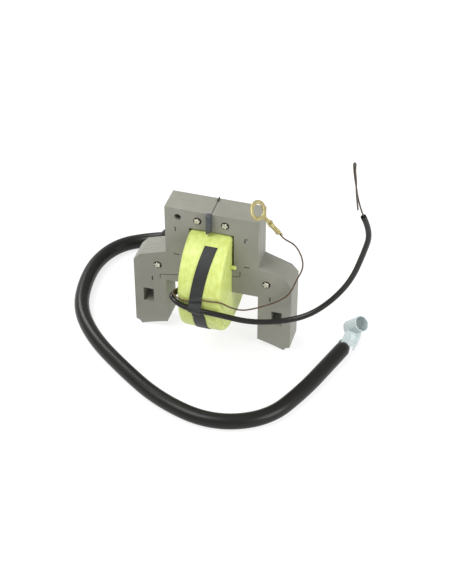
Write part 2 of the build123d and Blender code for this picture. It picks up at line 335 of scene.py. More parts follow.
def tube_rings(
    line: Sequence[Vector], radius: Callable[[float, float], float], sides: int
) -> list[list[Vector]]:
    """Rings square to a line, without twist from one to the next.

    Args:
        line: Centres of the rings.
        radius: Radius as a function of the distances from the start and to the end.
        sides: Points in each ring.

    Returns:
        One ring for each point of the line.
    """
    lengths = [0.0]
    for before, after in zip(line, line[1:]):
        lengths.append(lengths[-1] + (after - before).length)
    rings = []
    normal = None
    for i, centre in enumerate(line):
        heading = (line[min(i + 1, len(line) - 1)] - line[max(i - 1, 0)]).normalized()
        if normal is None:
            normal = heading.orthogonal().normalized()
        normal = (normal - heading * normal.dot(heading)).normalized()
        side = heading.cross(normal)
        r = radius(lengths[i], lengths[-1] - lengths[i])
        ring = []
        for j in range(sides):
            angle = 2 * math.pi * j / sides
            ring.append(centre + (normal * math.cos(angle) + side * math.sin(angle)) * r)
        rings.append(ring)
    return rings


# ---------------------------------------------------------------------------
# Finishes
# ---------------------------------------------------------------------------
class Space(Enum):
    """Which coordinates a finish follows."""

    OBJECT = "Object"
    SURFACE = "UV"


class Groups:
    """Shader effects that several finishes share."""

    @staticmethod
    def socket(
        tree: bpy.types.NodeTree, name: str, kind: str, out: bool, value: float | None = None
    ) -> None:
        """Add one named socket to a group.

        Args:
            tree: The group.
            name: Socket's name.
            kind: Socket's type, such as NodeSocketFloat.
            out: Whether it is an output.
            value: Default value of an input.
        """
        side = "OUTPUT" if out else "INPUT"
        made = tree.interface.new_socket(name=name, in_out=side, socket_type=kind)
        if value is not None:
            made.default_value = value

    @classmethod
    def mottle(cls) -> bpy.types.NodeTree:
        """Cloudy mix of two colours with a fine grain and uneven gloss.

        Returns:
            The group, built the first time it is asked for.
        """
        name = "mottled_surface"
        if name in bpy.data.node_groups:
            return bpy.data.node_groups[name]
        tree = bpy.data.node_groups.new(name, "ShaderNodeTree")
        cls.socket(tree, "Vector", "NodeSocketVector", False)
        cls.socket(tree, "Cloud Scale", "NodeSocketFloat", False, 120.0)
        cls.socket(tree, "Grain Scale", "NodeSocketFloat", False, 2500.0)
        cls.socket(tree, "Light Colour", "NodeSocketColor", False)
        cls.socket(tree, "Dark Colour", "NodeSocketColor", False)
        cls.socket(tree, "Least Roughness", "NodeSocketFloat", False, 0.4)
        cls.socket(tree, "Most Roughness", "NodeSocketFloat", False, 0.6)
        cls.socket(tree, "Colour", "NodeSocketColor", True)
        cls.socket(tree, "Roughness", "NodeSocketFloat", True)
        cls.socket(tree, "Height", "NodeSocketFloat", True)
        nodes, links = tree.nodes, tree.links
        given = nodes.new("NodeGroupInput")
        result = nodes.new("NodeGroupOutput")
        cloud = nodes.new("ShaderNodeTexNoise")
        cloud.inputs["Detail"].default_value = 4.0
        grain = nodes.new("ShaderNodeTexNoise")
        grain.inputs["Detail"].default_value = 2.0
        mix = nodes.new("ShaderNodeMix")
        mix.data_type = "RGBA"
        gloss = nodes.new("ShaderNodeMapRange")
        spread = nodes.new("ShaderNodeMapRange")
        spread.inputs["From Min"].default_value = 0.3
        spread.inputs["From Max"].default_value = 0.7
        height = nodes.new("ShaderNodeMath")
        height.operation = "MULTIPLY_ADD"
        height.inputs[1].default_value = 0.35
        for texture, scale in ((cloud, "Cloud Scale"), (grain, "Grain Scale")):
            links.new(given.outputs["Vector"], texture.inputs["Vector"])
            links.new(given.outputs[scale], texture.inputs["Scale"])
        links.new(cloud.outputs["Fac"], spread.inputs["Value"])
        links.new(spread.outputs["Result"], mix.inputs["Factor"])
        links.new(given.outputs["Dark Colour"], mix.inputs["A"])
        links.new(given.outputs["Light Colour"], mix.inputs["B"])
        links.new(grain.outputs["Fac"], gloss.inputs["Value"])
        links.new(given.outputs["Least Roughness"], gloss.inputs["To Min"])
        links.new(given.outputs["Most Roughness"], gloss.inputs["To Max"])
        links.new(grain.outputs["Fac"], height.inputs[0])
        links.new(cloud.outputs["Fac"], height.inputs[2])
        links.new(mix.outputs["Result"], result.inputs["Colour"])
        links.new(gloss.outputs["Result"], result.inputs["Roughness"])
        links.new(height.outputs["Value"], result.inputs["Height"])
        return tree

    @classmethod
    def lines(cls) -> bpy.types.NodeTree:
        """Fine parallel lines with a little wander, such as turns, threads or draw marks.

        Returns:
            The group, built the first time it is asked for.
        """
        name = "fine_lines"
        if name in bpy.data.node_groups:
            return bpy.data.node_groups[name]
        tree = bpy.data.node_groups.new(name, "ShaderNodeTree")
        cls.socket(tree, "Vector", "NodeSocketVector", False)
        cls.socket(tree, "Line Scale", "NodeSocketFloat", False, 300.0)
        cls.socket(tree, "Wander", "NodeSocketFloat", False, 0.5)
        cls.socket(tree, "Colour", "NodeSocketColor", False)
        cls.socket(tree, "Shade", "NodeSocketFloat", False, 0.3)
        cls.socket(tree, "Toned", "NodeSocketColor", True)
        cls.socket(tree, "Line", "NodeSocketFloat", True)
        nodes, links = tree.nodes, tree.links
        given = nodes.new("NodeGroupInput")
        result = nodes.new("NodeGroupOutput")
        wave = nodes.new("ShaderNodeTexWave")
        wave.wave_type = "BANDS"
        wave.bands_direction = "X"
        wave.inputs["Detail"].default_value = 2.0
        wave.inputs["Detail Scale"].default_value = 1.5
        tone = nodes.new("ShaderNodeMix")
        tone.data_type = "RGBA"
        tone.blend_type = "MULTIPLY"
        links.new(given.outputs["Vector"], wave.inputs["Vector"])
        links.new(given.outputs["Line Scale"], wave.inputs["Scale"])
        links.new(given.outputs["Wander"], wave.inputs["Distortion"])
        links.new(given.outputs["Shade"], tone.inputs["Factor"])
        links.new(given.outputs["Colour"], tone.inputs["A"])
        links.new(wave.outputs["Color"], tone.inputs["B"])
        links.new(tone.outputs["Result"], result.inputs["Toned"])
        links.new(wave.outputs["Fac"], result.inputs["Line"])
        return tree


@dataclass(frozen=True)
class Finish:
    """One surface finish: two clouded colours, gloss, grain and, where given, fine lines."""

    name: str
    light: Colour
    dark: Colour
    roughness: tuple[float, float]
    metallic: float = 0.0
    coat: float = 0.0
    coat_roughness: float = 0.2
    cloud: float = 120.0
    grain: float = 2500.0
    bump: float = 0.15
    depth: float = 0.0001
    stretch: Point = (1.0, 1.0, 1.0)
    space: Space = Space.OBJECT
    line_scale: float = 0.0
    line_wander: float = 0.5
    line_shade: float = 0.3
    line_bump: float = 0.3
    specular: float = 0.5

    def material(self) -> bpy.types.Material:
        """Return the material, built the first time it is asked for.

        Returns:
            The finish's material.
        """
        label = self.name + "_finish"
        if label in bpy.data.materials:
            return bpy.data.materials[label]
        made = bpy.data.materials.new(label)
        made.use_nodes = True
        self.wire(made.node_tree)
        return made

    def wire(self, tree: bpy.types.NodeTree) -> None:
        """Wire the shader from the shared groups.

        Args:
            tree: The material's own node tree.
        """
        nodes, links = tree.nodes, tree.links
        shader = nodes["Principled BSDF"]
        shader.inputs["Metallic"].default_value = self.metallic
        shader.inputs["Coat Weight"].default_value = self.coat
        shader.inputs["Coat Roughness"].default_value = self.coat_roughness
        shader.inputs["Specular IOR Level"].default_value = self.specular
        place = nodes.new("ShaderNodeTexCoord")
        turn = nodes.new("ShaderNodeMapping")
        turn.inputs["Scale"].default_value = self.stretch
        links.new(place.outputs[self.space.value], turn.inputs["Vector"])
        mottle = nodes.new("ShaderNodeGroup")
        mottle.node_tree = Groups.mottle()
        mottle.inputs["Cloud Scale"].default_value = self.cloud
        mottle.inputs["Grain Scale"].default_value = self.grain
        mottle.inputs["Light Colour"].default_value = (*self.light, 1.0)
        mottle.inputs["Dark Colour"].default_value = (*self.dark, 1.0)
        mottle.inputs["Least Roughness"].default_value = self.roughness[0]
        mottle.inputs["Most Roughness"].default_value = self.roughness[1]
        links.new(turn.outputs["Vector"], mottle.inputs["Vector"])
        links.new(mottle.outputs["Roughness"], shader.inputs["Roughness"])
        bump = nodes.new("ShaderNodeBump")
        bump.inputs["Strength"].default_value = self.bump
        bump.inputs["Distance"].default_value = self.depth
        links.new(mottle.outputs["Height"], bump.inputs["Height"])
        colour, normal = mottle.outputs["Colour"], bump.outputs["Normal"]
        if self.line_scale:
            colour, normal = self.add_lines(tree, turn, colour, normal)
        links.new(colour, shader.inputs["Base Color"])
        links.new(normal, shader.inputs["Normal"])

    def add_lines(
        self,
        tree: bpy.types.NodeTree,
        turn: bpy.types.Node,
        colour: bpy.types.NodeSocket,
        normal: bpy.types.NodeSocket,
    ) -> tuple[bpy.types.NodeSocket, bpy.types.NodeSocket]:
        """Lay the fine lines over the clouded surface.

        Args:
            tree: The material's own node tree.
            turn: Mapping node that gives the coordinates.
            colour: Colour so far.
            normal: Normal so far.

        Returns:
            The new colour and normal.
        """
        nodes, links = tree.nodes, tree.links
        lines = nodes.new("ShaderNodeGroup")
        lines.node_tree = Groups.lines()
        lines.inputs["Line Scale"].default_value = self.line_scale
        lines.inputs["Wander"].default_value = self.line_wander
        lines.inputs["Shade"].default_value = self.line_shade
        links.new(turn.outputs["Vector"], lines.inputs["Vector"])
        links.new(colour, lines.inputs["Colour"])
        ridge = nodes.new("ShaderNodeBump")
        ridge.inputs["Strength"].default_value = self.line_bump
        ridge.inputs["Distance"].default_value = self.depth
        links.new(lines.outputs["Line"], ridge.inputs["Height"])
        links.new(normal, ridge.inputs["Normal"])
        return lines.outputs["Toned"], ridge.outputs["Normal"]


class Finishes:
    """Every finish on the coil."""

    stack_paint = Finish(
        "stack_paint", (0.236, 0.234, 0.198), (0.204, 0.202, 0.168), (0.42, 0.6),
        cloud=90.0, grain=1800.0, bump=0.25, depth=0.00008, coat=0.08, coat_roughness=0.45,
    )
    rivet_steel = Finish(
        "rivet_steel", (0.66, 0.64, 0.55), (0.46, 0.44, 0.36), (0.34, 0.5),
        metallic=0.7, cloud=700.0, grain=6000.0, bump=0.3, depth=0.00005,
    )
    # Clouded between a greener tone and a whiter one: partly the tape's own uneven tone, partly a painted
    # sheen laid in at random.
    winding_tape = Finish(
        "winding_tape", (0.585, 0.665, 0.215), (0.475, 0.545, 0.115), (0.42, 0.58),
        cloud=620.0, grain=2600.0, bump=0.3, depth=0.00014, coat=0.12, coat_roughness=0.35,
        stretch=(1.0, 0.55, 0.55),
    )
    cloth_tape = Finish(
        "cloth_tape", (0.028, 0.029, 0.029), (0.019, 0.020, 0.020), (0.48, 0.62),
        cloud=260.0, grain=4000.0, bump=0.3, depth=0.00005, space=Space.SURFACE,
        line_scale=700.0, line_wander=0.8, line_shade=0.25, line_bump=0.25, specular=0.35,
    )
    keeper_strip = Finish(
        "keeper_strip", (0.058, 0.066, 0.072), (0.042, 0.048, 0.053), (0.45, 0.6),
        cloud=300.0, grain=3000.0, bump=0.2, depth=0.00005,
    )
    spacer_fibre = Finish(
        "spacer_fibre", (0.05, 0.05, 0.048), (0.03, 0.03, 0.03), (0.6, 0.8),
        cloud=900.0, grain=5000.0, bump=0.3, depth=0.00005,
    )
    lead_rubber = Finish(
        "lead_rubber", (0.0115, 0.0112, 0.0098), (0.008, 0.0077, 0.0066), (0.30, 0.40),
        cloud=90.0, grain=1800.0, bump=0.04, depth=0.00006, space=Space.SURFACE,
        coat=0.05, coat_roughness=0.2, specular=0.22,
    )
    boot_rubber = Finish(
        "boot_rubber", (0.014, 0.0135, 0.0125), (0.009, 0.0087, 0.008), (0.42, 0.55),
        cloud=140.0, grain=2200.0, bump=0.2, depth=0.0001, space=Space.SURFACE, specular=0.25,
    )
    sleeve_varnish = Finish(
        "sleeve_varnish", (0.014, 0.013, 0.011), (0.008, 0.0075, 0.0065), (0.22, 0.34),
        cloud=150.0, grain=3000.0, bump=0.15, depth=0.00006, space=Space.SURFACE,
        coat=0.12, coat_roughness=0.18, specular=0.3,
    )
    zinc_plate = Finish(
        "zinc_plate", (0.50, 0.57, 0.57), (0.41, 0.475, 0.475), (0.36, 0.5),
        metallic=0.2, cloud=420.0, grain=5000.0, bump=0.15, depth=0.00005,
    )
    # The lighter colour is a painted highlight and the darker one a painted shade, clouded together at
    # random over the brass.
    ring_brass = Finish(
        "ring_brass", (0.47, 0.415, 0.205), (0.33, 0.28, 0.115), (0.28, 0.44),
        metallic=0.7, cloud=520.0, grain=6000.0, bump=0.15, depth=0.00005,
    )
    tinned_wire = Finish(
        "tinned_wire", (0.098, 0.080, 0.062), (0.066, 0.053, 0.040), (0.34, 0.48),
        metallic=0.3, specular=0.3, cloud=900.0, grain=7000.0, bump=0.15, depth=0.00003,
    )
    enamel_wire = Finish(
        "enamel_wire", (0.115, 0.068, 0.040), (0.075, 0.044, 0.026), (0.28, 0.4),
        metallic=0.25, cloud=600.0, grain=7000.0, bump=0.1, depth=0.00003, coat=0.1,
        specular=0.3,
    )
    copper_turns = Finish(
        "copper_turns", (0.72, 0.32, 0.16), (0.55, 0.22, 0.10), (0.25, 0.4),
        metallic=0.8, cloud=300.0, grain=4000.0, bump=0.1, depth=0.00006,
        line_scale=1400.0, line_wander=0.2, line_shade=0.5, line_bump=0.6,
    )
    form_fibre = Finish(
        "form_fibre", (0.36, 0.25, 0.12), (0.27, 0.18, 0.085), (0.6, 0.8),
        cloud=400.0, grain=4000.0, bump=0.3, depth=0.00008,
    )
    barrier_film = Finish(
        "barrier_film", (0.70, 0.55, 0.22), (0.60, 0.45, 0.17), (0.3, 0.45),
        cloud=200.0, grain=3000.0, bump=0.1, depth=0.00005, coat=0.3,
    )
    strand = Finish(
        "strand", (0.66, 0.62, 0.55), (0.5, 0.46, 0.4), (0.25, 0.4),
        metallic=0.9, cloud=600.0, grain=6000.0, bump=0.1, depth=0.00003,
        line_scale=1500.0, line_wander=0.3, line_shade=0.4, line_bump=0.5,
    )


def place(
    piece: bpy.types.Object, finish: Finish, slot: str, *nodes: str
) -> bpy.types.Object:
    """Dress a finished piece and tie it to the frame.

    Args:
        piece: Object at the origin with its place in its mesh.
        finish: Finish over the whole piece.
        slot: Record's material slot; not used.
        nodes: CAD nodes that it stands for.

    Returns:
        The same object.
    """
    piece.data.materials.clear()
    piece.data.materials.append(finish.material())
    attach(piece, BODY)
    if nodes:
        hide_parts(*nodes)
    faces = len(piece.data.polygons) if piece.type == "MESH" else 0
    LOG.info("%s: %s faces, %s", piece.name, faces, finish.name)
    return piece


def dress(node: str, finish: Finish) -> None:
    """Give a CAD node that stays its finish.

    Args:
        node: Name of the node.
        finish: Finish over the whole node.
    """
    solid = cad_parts[node]
    solid.data.materials.clear()
    solid.data.materials.append(finish.material())
    LOG.info("%s: kept, %s", node, finish.name)


# ---------------------------------------------------------------------------
# Geometry Nodes
# ---------------------------------------------------------------------------
class Trees:
    """Geometry Nodes for what repeats: stamped sheets and rivet heads."""

    @staticmethod
    def start(name: str, inputs: Sequence[tuple[str, str]]) -> bpy.types.NodeTree:
        """Make an empty tree with named inputs and one geometry output.

        Args:
            name: Name of the tree.
            inputs: Name and socket type of each input.

        Returns:
            The tree, with its group input and output nodes.
        """
        tree = bpy.data.node_groups.new(name, "GeometryNodeTree")
        for label, kind in inputs:
            tree.interface.new_socket(name=label, in_out="INPUT", socket_type=kind)
        tree.interface.new_socket(
            name="Geometry", in_out="OUTPUT", socket_type="NodeSocketGeometry"
        )
        tree.nodes.new("NodeGroupInput")
        tree.nodes.new("NodeGroupOutput")
        return tree

    @staticmethod
    def finish(tree: bpy.types.NodeTree, result: bpy.types.NodeSocket) -> None:
        """End a tree in Realize Instances and Set Material.

        Args:
            tree: The tree.
            result: Geometry to finish.
        """
        nodes, links = tree.nodes, tree.links
        real = nodes.new("GeometryNodeRealizeInstances")
        coat = nodes.new("GeometryNodeSetMaterial")
        links.new(result, real.inputs["Geometry"])
        links.new(real.outputs["Geometry"], coat.inputs["Geometry"])
        links.new(nodes["Group Input"].outputs["Material"], coat.inputs["Material"])
        links.new(coat.outputs["Geometry"], nodes["Group Output"].inputs["Geometry"])

    @classmethod
    def sheet_stack(cls) -> bpy.types.NodeTree:
        """Stamped sheets stacked along Y behind a front sheet, each a hair out of line.

        Returns:
            The tree.
        """
        tree = cls.start(
            "sheet_stack",
            (
                ("Geometry", "NodeSocketGeometry"),
                ("Front Sheet", "NodeSocketObject"),
                ("Count", "NodeSocketInt"),
                ("Pitch", "NodeSocketVector"),
                ("Play", "NodeSocketVector"),
                ("Seed", "NodeSocketInt"),
                ("Material", "NodeSocketMaterial"),
            ),
        )
        nodes, links = tree.nodes, tree.links
        given = nodes["Group Input"]
        line = nodes.new("GeometryNodeMeshLine")
        copies = nodes.new("GeometryNodeInstanceOnPoints")
        shift = nodes.new("GeometryNodeTranslateInstances")
        back = nodes.new("ShaderNodeVectorMath")
        back.operation = "SCALE"
        back.inputs["Scale"].default_value = -1.0
        chance = nodes.new("FunctionNodeRandomValue")
        chance.data_type = "FLOAT_VECTOR"
        front = nodes.new("GeometryNodeObjectInfo")
        both = nodes.new("GeometryNodeJoinGeometry")
        links.new(given.outputs["Count"], line.inputs["Count"])
        links.new(given.outputs["Pitch"], line.inputs["Offset"])
        links.new(line.outputs["Mesh"], copies.inputs["Points"])
        links.new(given.outputs["Geometry"], copies.inputs["Instance"])
        links.new(given.outputs["Play"], chance.inputs["Max"])
        links.new(given.outputs["Play"], back.inputs[0])
        links.new(back.outputs["Vector"], chance.inputs["Min"])
        links.new(given.outputs["Seed"], chance.inputs["Seed"])
        links.new(copies.outputs["Instances"], shift.inputs["Instances"])
        links.new(chance.outputs["Value"], shift.inputs["Translation"])
        links.new(given.outputs["Front Sheet"], front.inputs["Object"])
        links.new(front.outputs["Geometry"], both.inputs["Geometry"])
        links.new(shift.outputs["Instances"], both.inputs["Geometry"])
        cls.finish(tree, both.outputs["Geometry"])
        return tree

    @classmethod
    def rivet_heads(cls) -> bpy.types.NodeTree:
        """One staked head at each front point, and the same heads turned to the back.

        Returns:
            The tree.
        """
        tree = cls.start(
            "rivet_heads",
            (
                ("Geometry", "NodeSocketGeometry"),
                ("Head", "NodeSocketObject"),
                ("Spin", "NodeSocketVector"),
                ("Seed", "NodeSocketInt"),
                ("Half Turn", "NodeSocketRotation"),
                ("Material", "NodeSocketMaterial"),
            ),
        )
        nodes, links = tree.nodes, tree.links
        given = nodes["Group Input"]
        head = nodes.new("GeometryNodeObjectInfo")
        copies = nodes.new("GeometryNodeInstanceOnPoints")
        chance = nodes.new("FunctionNodeRandomValue")
        chance.data_type = "FLOAT_VECTOR"
        chance.inputs["Min"].default_value = (0.0, 0.0, 0.0)
        turned = nodes.new("GeometryNodeTransform")
        both = nodes.new("GeometryNodeJoinGeometry")
        links.new(given.outputs["Head"], head.inputs["Object"])
        links.new(given.outputs["Geometry"], copies.inputs["Points"])
        links.new(head.outputs["Geometry"], copies.inputs["Instance"])
        links.new(given.outputs["Spin"], chance.inputs["Max"])
        links.new(given.outputs["Seed"], chance.inputs["Seed"])
        links.new(chance.outputs["Value"], copies.inputs["Rotation"])
        links.new(copies.outputs["Instances"], turned.inputs["Geometry"])
        links.new(given.outputs["Half Turn"], turned.inputs["Rotation"])
        links.new(copies.outputs["Instances"], both.inputs["Geometry"])
        links.new(turned.outputs["Geometry"], both.inputs["Geometry"])
        cls.finish(tree, both.outputs["Geometry"])
        return tree

    @staticmethod
    def run(piece: bpy.types.Object, tree: bpy.types.NodeTree, values: dict) -> bpy.types.Object:
        """Run a tree on a piece and keep the plain result.

        Args:
            piece: Object the tree works on.
            tree: The tree.
            values: Value of each named input.

        Returns:
            The piece with its new mesh.
        """
        modifier = piece.modifiers.new(tree.name, "NODES")
        modifier.node_group = tree
        for item in tree.interface.items_tree:
            if item.in_out == "INPUT" and item.name in values:
                modifier[item.identifier] = values[item.name]
        return baked(piece)


# ---------------------------------------------------------------------------
# Lamination stack
# ---------------------------------------------------------------------------
@dataclass
class LaminationStack:
    """Two halves of stamped sheets, their rivets, the gap spacer and its keeper."""

    window_half: float = 0.01025
    window_top: float = 0.0607
    bar_top: float = 0.0414
    bar_bottom: float = 0.02885
    head_half: float = 0.02145
    shoulder_root: float = 0.0452
    shoulder_end: float = 0.0410
    shoulder_chamfer: tuple[float, float] = (0.0031, 0.0035)
    toe: tuple[float, float] = (0.0019, 0.00145)
    toe_height: float = 0.00225
    pole_tip: float = 0.0342
    leg_inner: float = 0.0216
    flywheel_radius: float = 0.094
    spacer: float = 0.0004
    scarf_gap: float = 0.0003
    left_tongue: Point = (-0.0245, 0.0, 0.0313)
    right_tongue: Point = (0.01315, 0.0, 0.03845)
    slot: tuple[float, float] = (0.0049, 0.0075)
    slot_centre: tuple[float, float] = (0.03035, 0.01805)
    rivet_hole: float = 0.00165
    rivet_recess: float = 0.0019
    sunk_sheets: int = 3
    rivets: tuple[tuple[float, float], ...] = ((0.0063, 0.06525), (0.0254, 0.03665))
    yoke_hole: tuple[float, float, float] = (-0.01545, 0.06555, 0.0016)
    sheets: int = 20
    edge: float = 0.00005
    play: float = 0.00003
    tick: tuple[float, float] = (0.0007, 0.0025)
    arc_steps: int = 10
    head_radius: float = 0.00152
    head_shift: tuple[float, float] = (-0.00018, -0.00014)
    head_rise: float = 0.00048
    head_lobes: int = 5
    neck_radius: float = 0.00105
    keeper_slant: float = 0.0016
    keeper_steps: int = 14

    def __post_init__(self) -> None:
        """Read the stack's outer size from the frame."""
        low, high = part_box("core_left_half")
        self.front, self.back = low.y, high.y
        self.half_span = -low.x
        self.head_top = high.z
        self.pitch = (self.back - self.front) / self.sheets

    def outer_side(self, side: int) -> list[tuple[float, float]]:
        """Outside of one half, from the top joint down to the bar's underside.

        Args:
            side: -1 for the left half, 1 for the right one.

        Returns:
            Points in X and Z.
        """
        span, chamfer, toe = self.half_span, self.shoulder_chamfer, self.toe
        points = [
            (self.spacer / 2, self.head_top),
            (self.head_half, self.head_top),
            (self.head_half, self.shoulder_root),
            (span - chamfer[0], self.shoulder_end),
            (span, self.shoulder_end - chamfer[1]),
            (span, self.toe_height),
            (span - toe[0], toe[1]),
        ]
        drop = math.sqrt(self.flywheel_radius**2 - self.pole_tip**2)
        for i in range(self.arc_steps + 1):
            x = self.pole_tip + (self.leg_inner - self.pole_tip) * i / self.arc_steps
            points.append((x, math.sqrt(self.flywheel_radius**2 - x**2) - drop))
        points.append((self.leg_inner, self.bar_bottom))
        return [(side * x, z) for x, z in points]

    def outline(self, side: int) -> list[tuple[float, float]]:
        """Whole outline of one half, tongue included.

        Args:
            side: -1 for the left half, 1 for the right one.

        Returns:
            Points in X and Z.
        """
        gap = -side * self.scarf_gap / 2
        left, right = self.left_tongue, self.right_tongue
        scarf = [
            (left[0] - gap, self.bar_bottom),
            (left[0] - gap, left[2] + gap),
            (right[0] - gap, right[2] + gap),
            (right[0] - gap, self.bar_top),
        ]
        window = [
            (side * self.window_half, self.bar_top),
            (side * self.window_half, self.window_top),
            (side * self.spacer / 2, self.window_top),
        ]
        return self.outer_side(side) + scarf + window

    def oblong(self, x: float, z: float, width: float, height: float) -> list[tuple[float, float]]:
        """Corners of an upright rectangle about its centre."""
        w, h = width / 2, height / 2
        return [(x - w, z - h), (x + w, z - h), (x + w, z + h), (x - w, z + h)]

    def ring(self, x: float, z: float, radius: float, steps: int = 28) -> list[tuple[float, float]]:
        """Points of a round hole."""
        turns = [2 * math.pi * i / steps for i in range(steps)]
        return [(x + radius * math.cos(a), z + radius * math.sin(a)) for a in turns]

    def holes(self, side: int, rivet_hole: float) -> list[list[tuple[float, float]]]:
        """Holes through a sheet of one half, with the given radius at the rivets.

        Args:
            side: -1 for the left half, 1 for the right one.
            rivet_hole: Radius of the holes at the rivets.

        Returns:
            Points in X and Z of each hole.
        """
        found = [self.ring(side * x, z, rivet_hole) for x, z in self.rivets]
        found.append(self.oblong(side * self.slot_centre[0], self.slot_centre[1], *self.slot))
        if side < 0:
            found.append(self.ring(*self.yoke_hole))
        return found

    def ticks(self, side: int) -> list[list[tuple[float, float]]]:
        """Short slits that are stamped through the front sheet only.

        Args:
            side: -1 for the left half, 1 for the right one.

        Returns:
            Points in X and Z of each slit.
        """
        wide, tall = self.tick
        upright = {-1: ((-0.0166, 0.0589), (-0.0282, 0.0284)), 1: ((0.0153, 0.0589), (0.0272, 0.0286))}
        level = {-1: (-0.0163, 0.0447), 1: (0.0162, 0.0443)}
        marks = [self.oblong(x, z, wide, tall) for x, z in upright[side]]
        marks.append(self.oblong(*level[side], tall, wide))
        if side > 0:
            x, z = upright[side][0]
            marks[0] = [
                (x - wide / 2, z - tall / 2), (x + wide / 2, z - tall / 2),
                (x + wide / 2, z + tall / 2 - wide), (x + tall / 2, z + tall / 2 - wide),
                (x + tall / 2, z + tall / 2), (x - wide / 2, z + tall / 2),
            ]
        return marks

    def sheet(self, name: str, loops: Sequence[Sequence[tuple[float, float]]], y: float) -> bpy.types.Object:
        """Stamp one sheet with rounded edges.

        Args:
            name: Name of the object.
            loops: The outline and the holes, in X and Z.
            y: Middle of the sheet.

        Returns:
            Mesh object of the sheet.
        """
        curve = bpy.data.curves.new(name, "CURVE")
        curve.dimensions = "2D"
        curve.fill_mode = "BOTH"
        curve.extrude = self.pitch / 2 - self.edge
        curve.bevel_depth = self.edge
        curve.bevel_resolution = 1
        curve.offset = -self.edge
        for loop in loops:
            spline = curve.splines.new("POLY")
            spline.points.add(len(loop) - 1)
            for control, (x, z) in zip(spline.points, loop):
                control.co = (x, z, 0.0, 1.0)
            spline.use_cyclic_u = True
        drawn = add_object(name, curve)
        mesh = evaluated_mesh(drawn, name)
        bpy.data.objects.remove(drawn)
        mesh.transform(Matrix.Translation((0.0, y, 0.0)) @ Matrix.Rotation(math.pi / 2, 4, "X"))
        outward(mesh)
        return add_object(name, mesh)

    def half(self, side: int, name: str, node: str, seed: int) -> None:
        """Stack one half of the core.

        Args:
            side: -1 for the left half, 1 for the right one.
            name: Name of the piece.
            node: CAD node that it stands for.
            seed: Seed for the sheets' play.
        """
        outline = self.outline(side)
        sunk = [outline, *self.holes(side, self.rivet_recess)]
        sheets = []
        for i in range(self.sunk_sheets):
            loops = sunk + self.ticks(side) if i == 0 else sunk
            sheets.append(self.sheet(f"{name}_{i}", loops, self.front + self.pitch * (i + 0.5)))
        first = add_object(name + "_front", joined(name + "_front", [sheet.data for sheet in sheets]))
        plain = self.sheet(name, [outline, *self.holes(side, self.rivet_hole)], self.back - self.pitch / 2)
        values = {
            "Front Sheet": first,
            "Count": self.sheets - self.sunk_sheets,
            "Pitch": (0.0, -self.pitch, 0.0),
            "Play": (self.play, 0.0, self.play),
            "Seed": seed,
            "Material": Finishes.stack_paint.material(),
        }
        Trees.run(plain, Trees.sheet_stack(), values)
        for used in (first, *sheets):
            bpy.data.objects.remove(used)
        plain.data.shade_flat()
        self.keep_in(plain, node)
        place(plain, Finishes.stack_paint, "stack_paint", node)

    @staticmethod
    def keep_in(piece: bpy.types.Object, node: str) -> None:
        """Hold a piece inside the box of the node that it stands for.

        Args:
            piece: Mesh object.
            node: CAD node.
        """
        low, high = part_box(node)
        for vertex in piece.data.vertices:
            for axis in range(3):
                vertex.co[axis] = min(max(vertex.co[axis], low[axis]), high[axis])

    def star(self, angle: float, radius: float, height: float) -> tuple[float, float]:
        """Shape of a staked head: five lobes pressed outwards round a sunk middle.

        Args:
            angle: Angle round the axis.
            radius: Radius before it is shaped.
            height: Height before it is shaped.

        Returns:
            The new radius and height.
        """
        if height < -0.00005:
            return radius, height
        lobe = (0.5 + 0.5 * math.cos(self.head_lobes * angle)) ** 0.8
        reach = min(radius / self.head_radius, 1.0)
        notch = (1 - lobe) * reach**1.5
        return radius * (1 - 0.3 * notch), height * (1 - 0.45 * notch)

    def rivet_heads(self) -> None:
        """Make every rivet with a staked head at both faces of the stack."""
        r, rise, neck = self.head_radius, self.head_rise, self.neck_radius
        sunk = self.sunk_sheets * self.pitch
        shank = self.rivet_hole - abs(self.head_shift[0]) - abs(self.head_shift[1])
        profile = [
            (AXIS, rise * 0.62), (r * 0.2, rise * 0.62), (r * 0.32, rise * 0.92),
            (r * 0.5, rise), (r * 0.75, rise * 0.97), (r * 0.9, rise * 0.8),
            (r, rise * 0.45), (r, rise * 0.05), (r * 0.9, -0.00002), (neck, -0.0001),
            (neck, -sunk + 0.0002), (shank, -sunk), (shank, self.front * 0.999),
            (AXIS, self.front * 0.999),
        ]
        turn = Matrix.Rotation(math.pi / 2, 4, "X")
        head = add_object("rivet_head", lathe("rivet_head", profile, turn, 60, self.star))
        aside, down = self.head_shift
        points = [(s * x + aside, self.front, z + down) for x, z in self.rivets for s in (-1, 1)]
        mesh = bpy.data.meshes.new("rivets")
        mesh.from_pydata(points, [], [])
        piece = add_object("rivets", mesh)
        values = {
            "Head": head,
            "Spin": (0.0, 1.2, 0.0),
            "Seed": 4,
            "Half Turn": (0.0, 0.0, math.pi),
            "Material": Finishes.rivet_steel.material(),
        }
        Trees.run(piece, Trees.rivet_heads(), values)
        bpy.data.objects.remove(head)
        nodes = ("yoke_rivet_left", "yoke_rivet_right", "leg_rivet_left", "leg_rivet_right")
        place(piece, Finishes.rivet_steel, "zinc_plate", *nodes)

    def keeper(self) -> None:
        """Make the strip that keeps the spacer in, cut on a slant at its lower end."""
        low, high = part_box("gap_keeper")
        rows = []
        for i in range(self.keeper_steps + 1):
            share = i / self.keeper_steps
            row = []
            for x, y in self.rounded_section(low, high):
                across = (x - low.x) / (high.x - low.x)
                bottom = low.z + self.keeper_slant * across
                lean = 0.00012 * math.sin(2.2 * share) * (1 if y < low.y + 0.0005 else 0)
                row.append(Vector((x, y + lean, bottom + (high.z - bottom) * share)))
            rows.append(row)
        piece = add_object("keeper_strip", grid_mesh("keeper_strip", rows, cap_ends=True))
        place(piece, Finishes.keeper_strip, "cloth_tape", "gap_keeper")

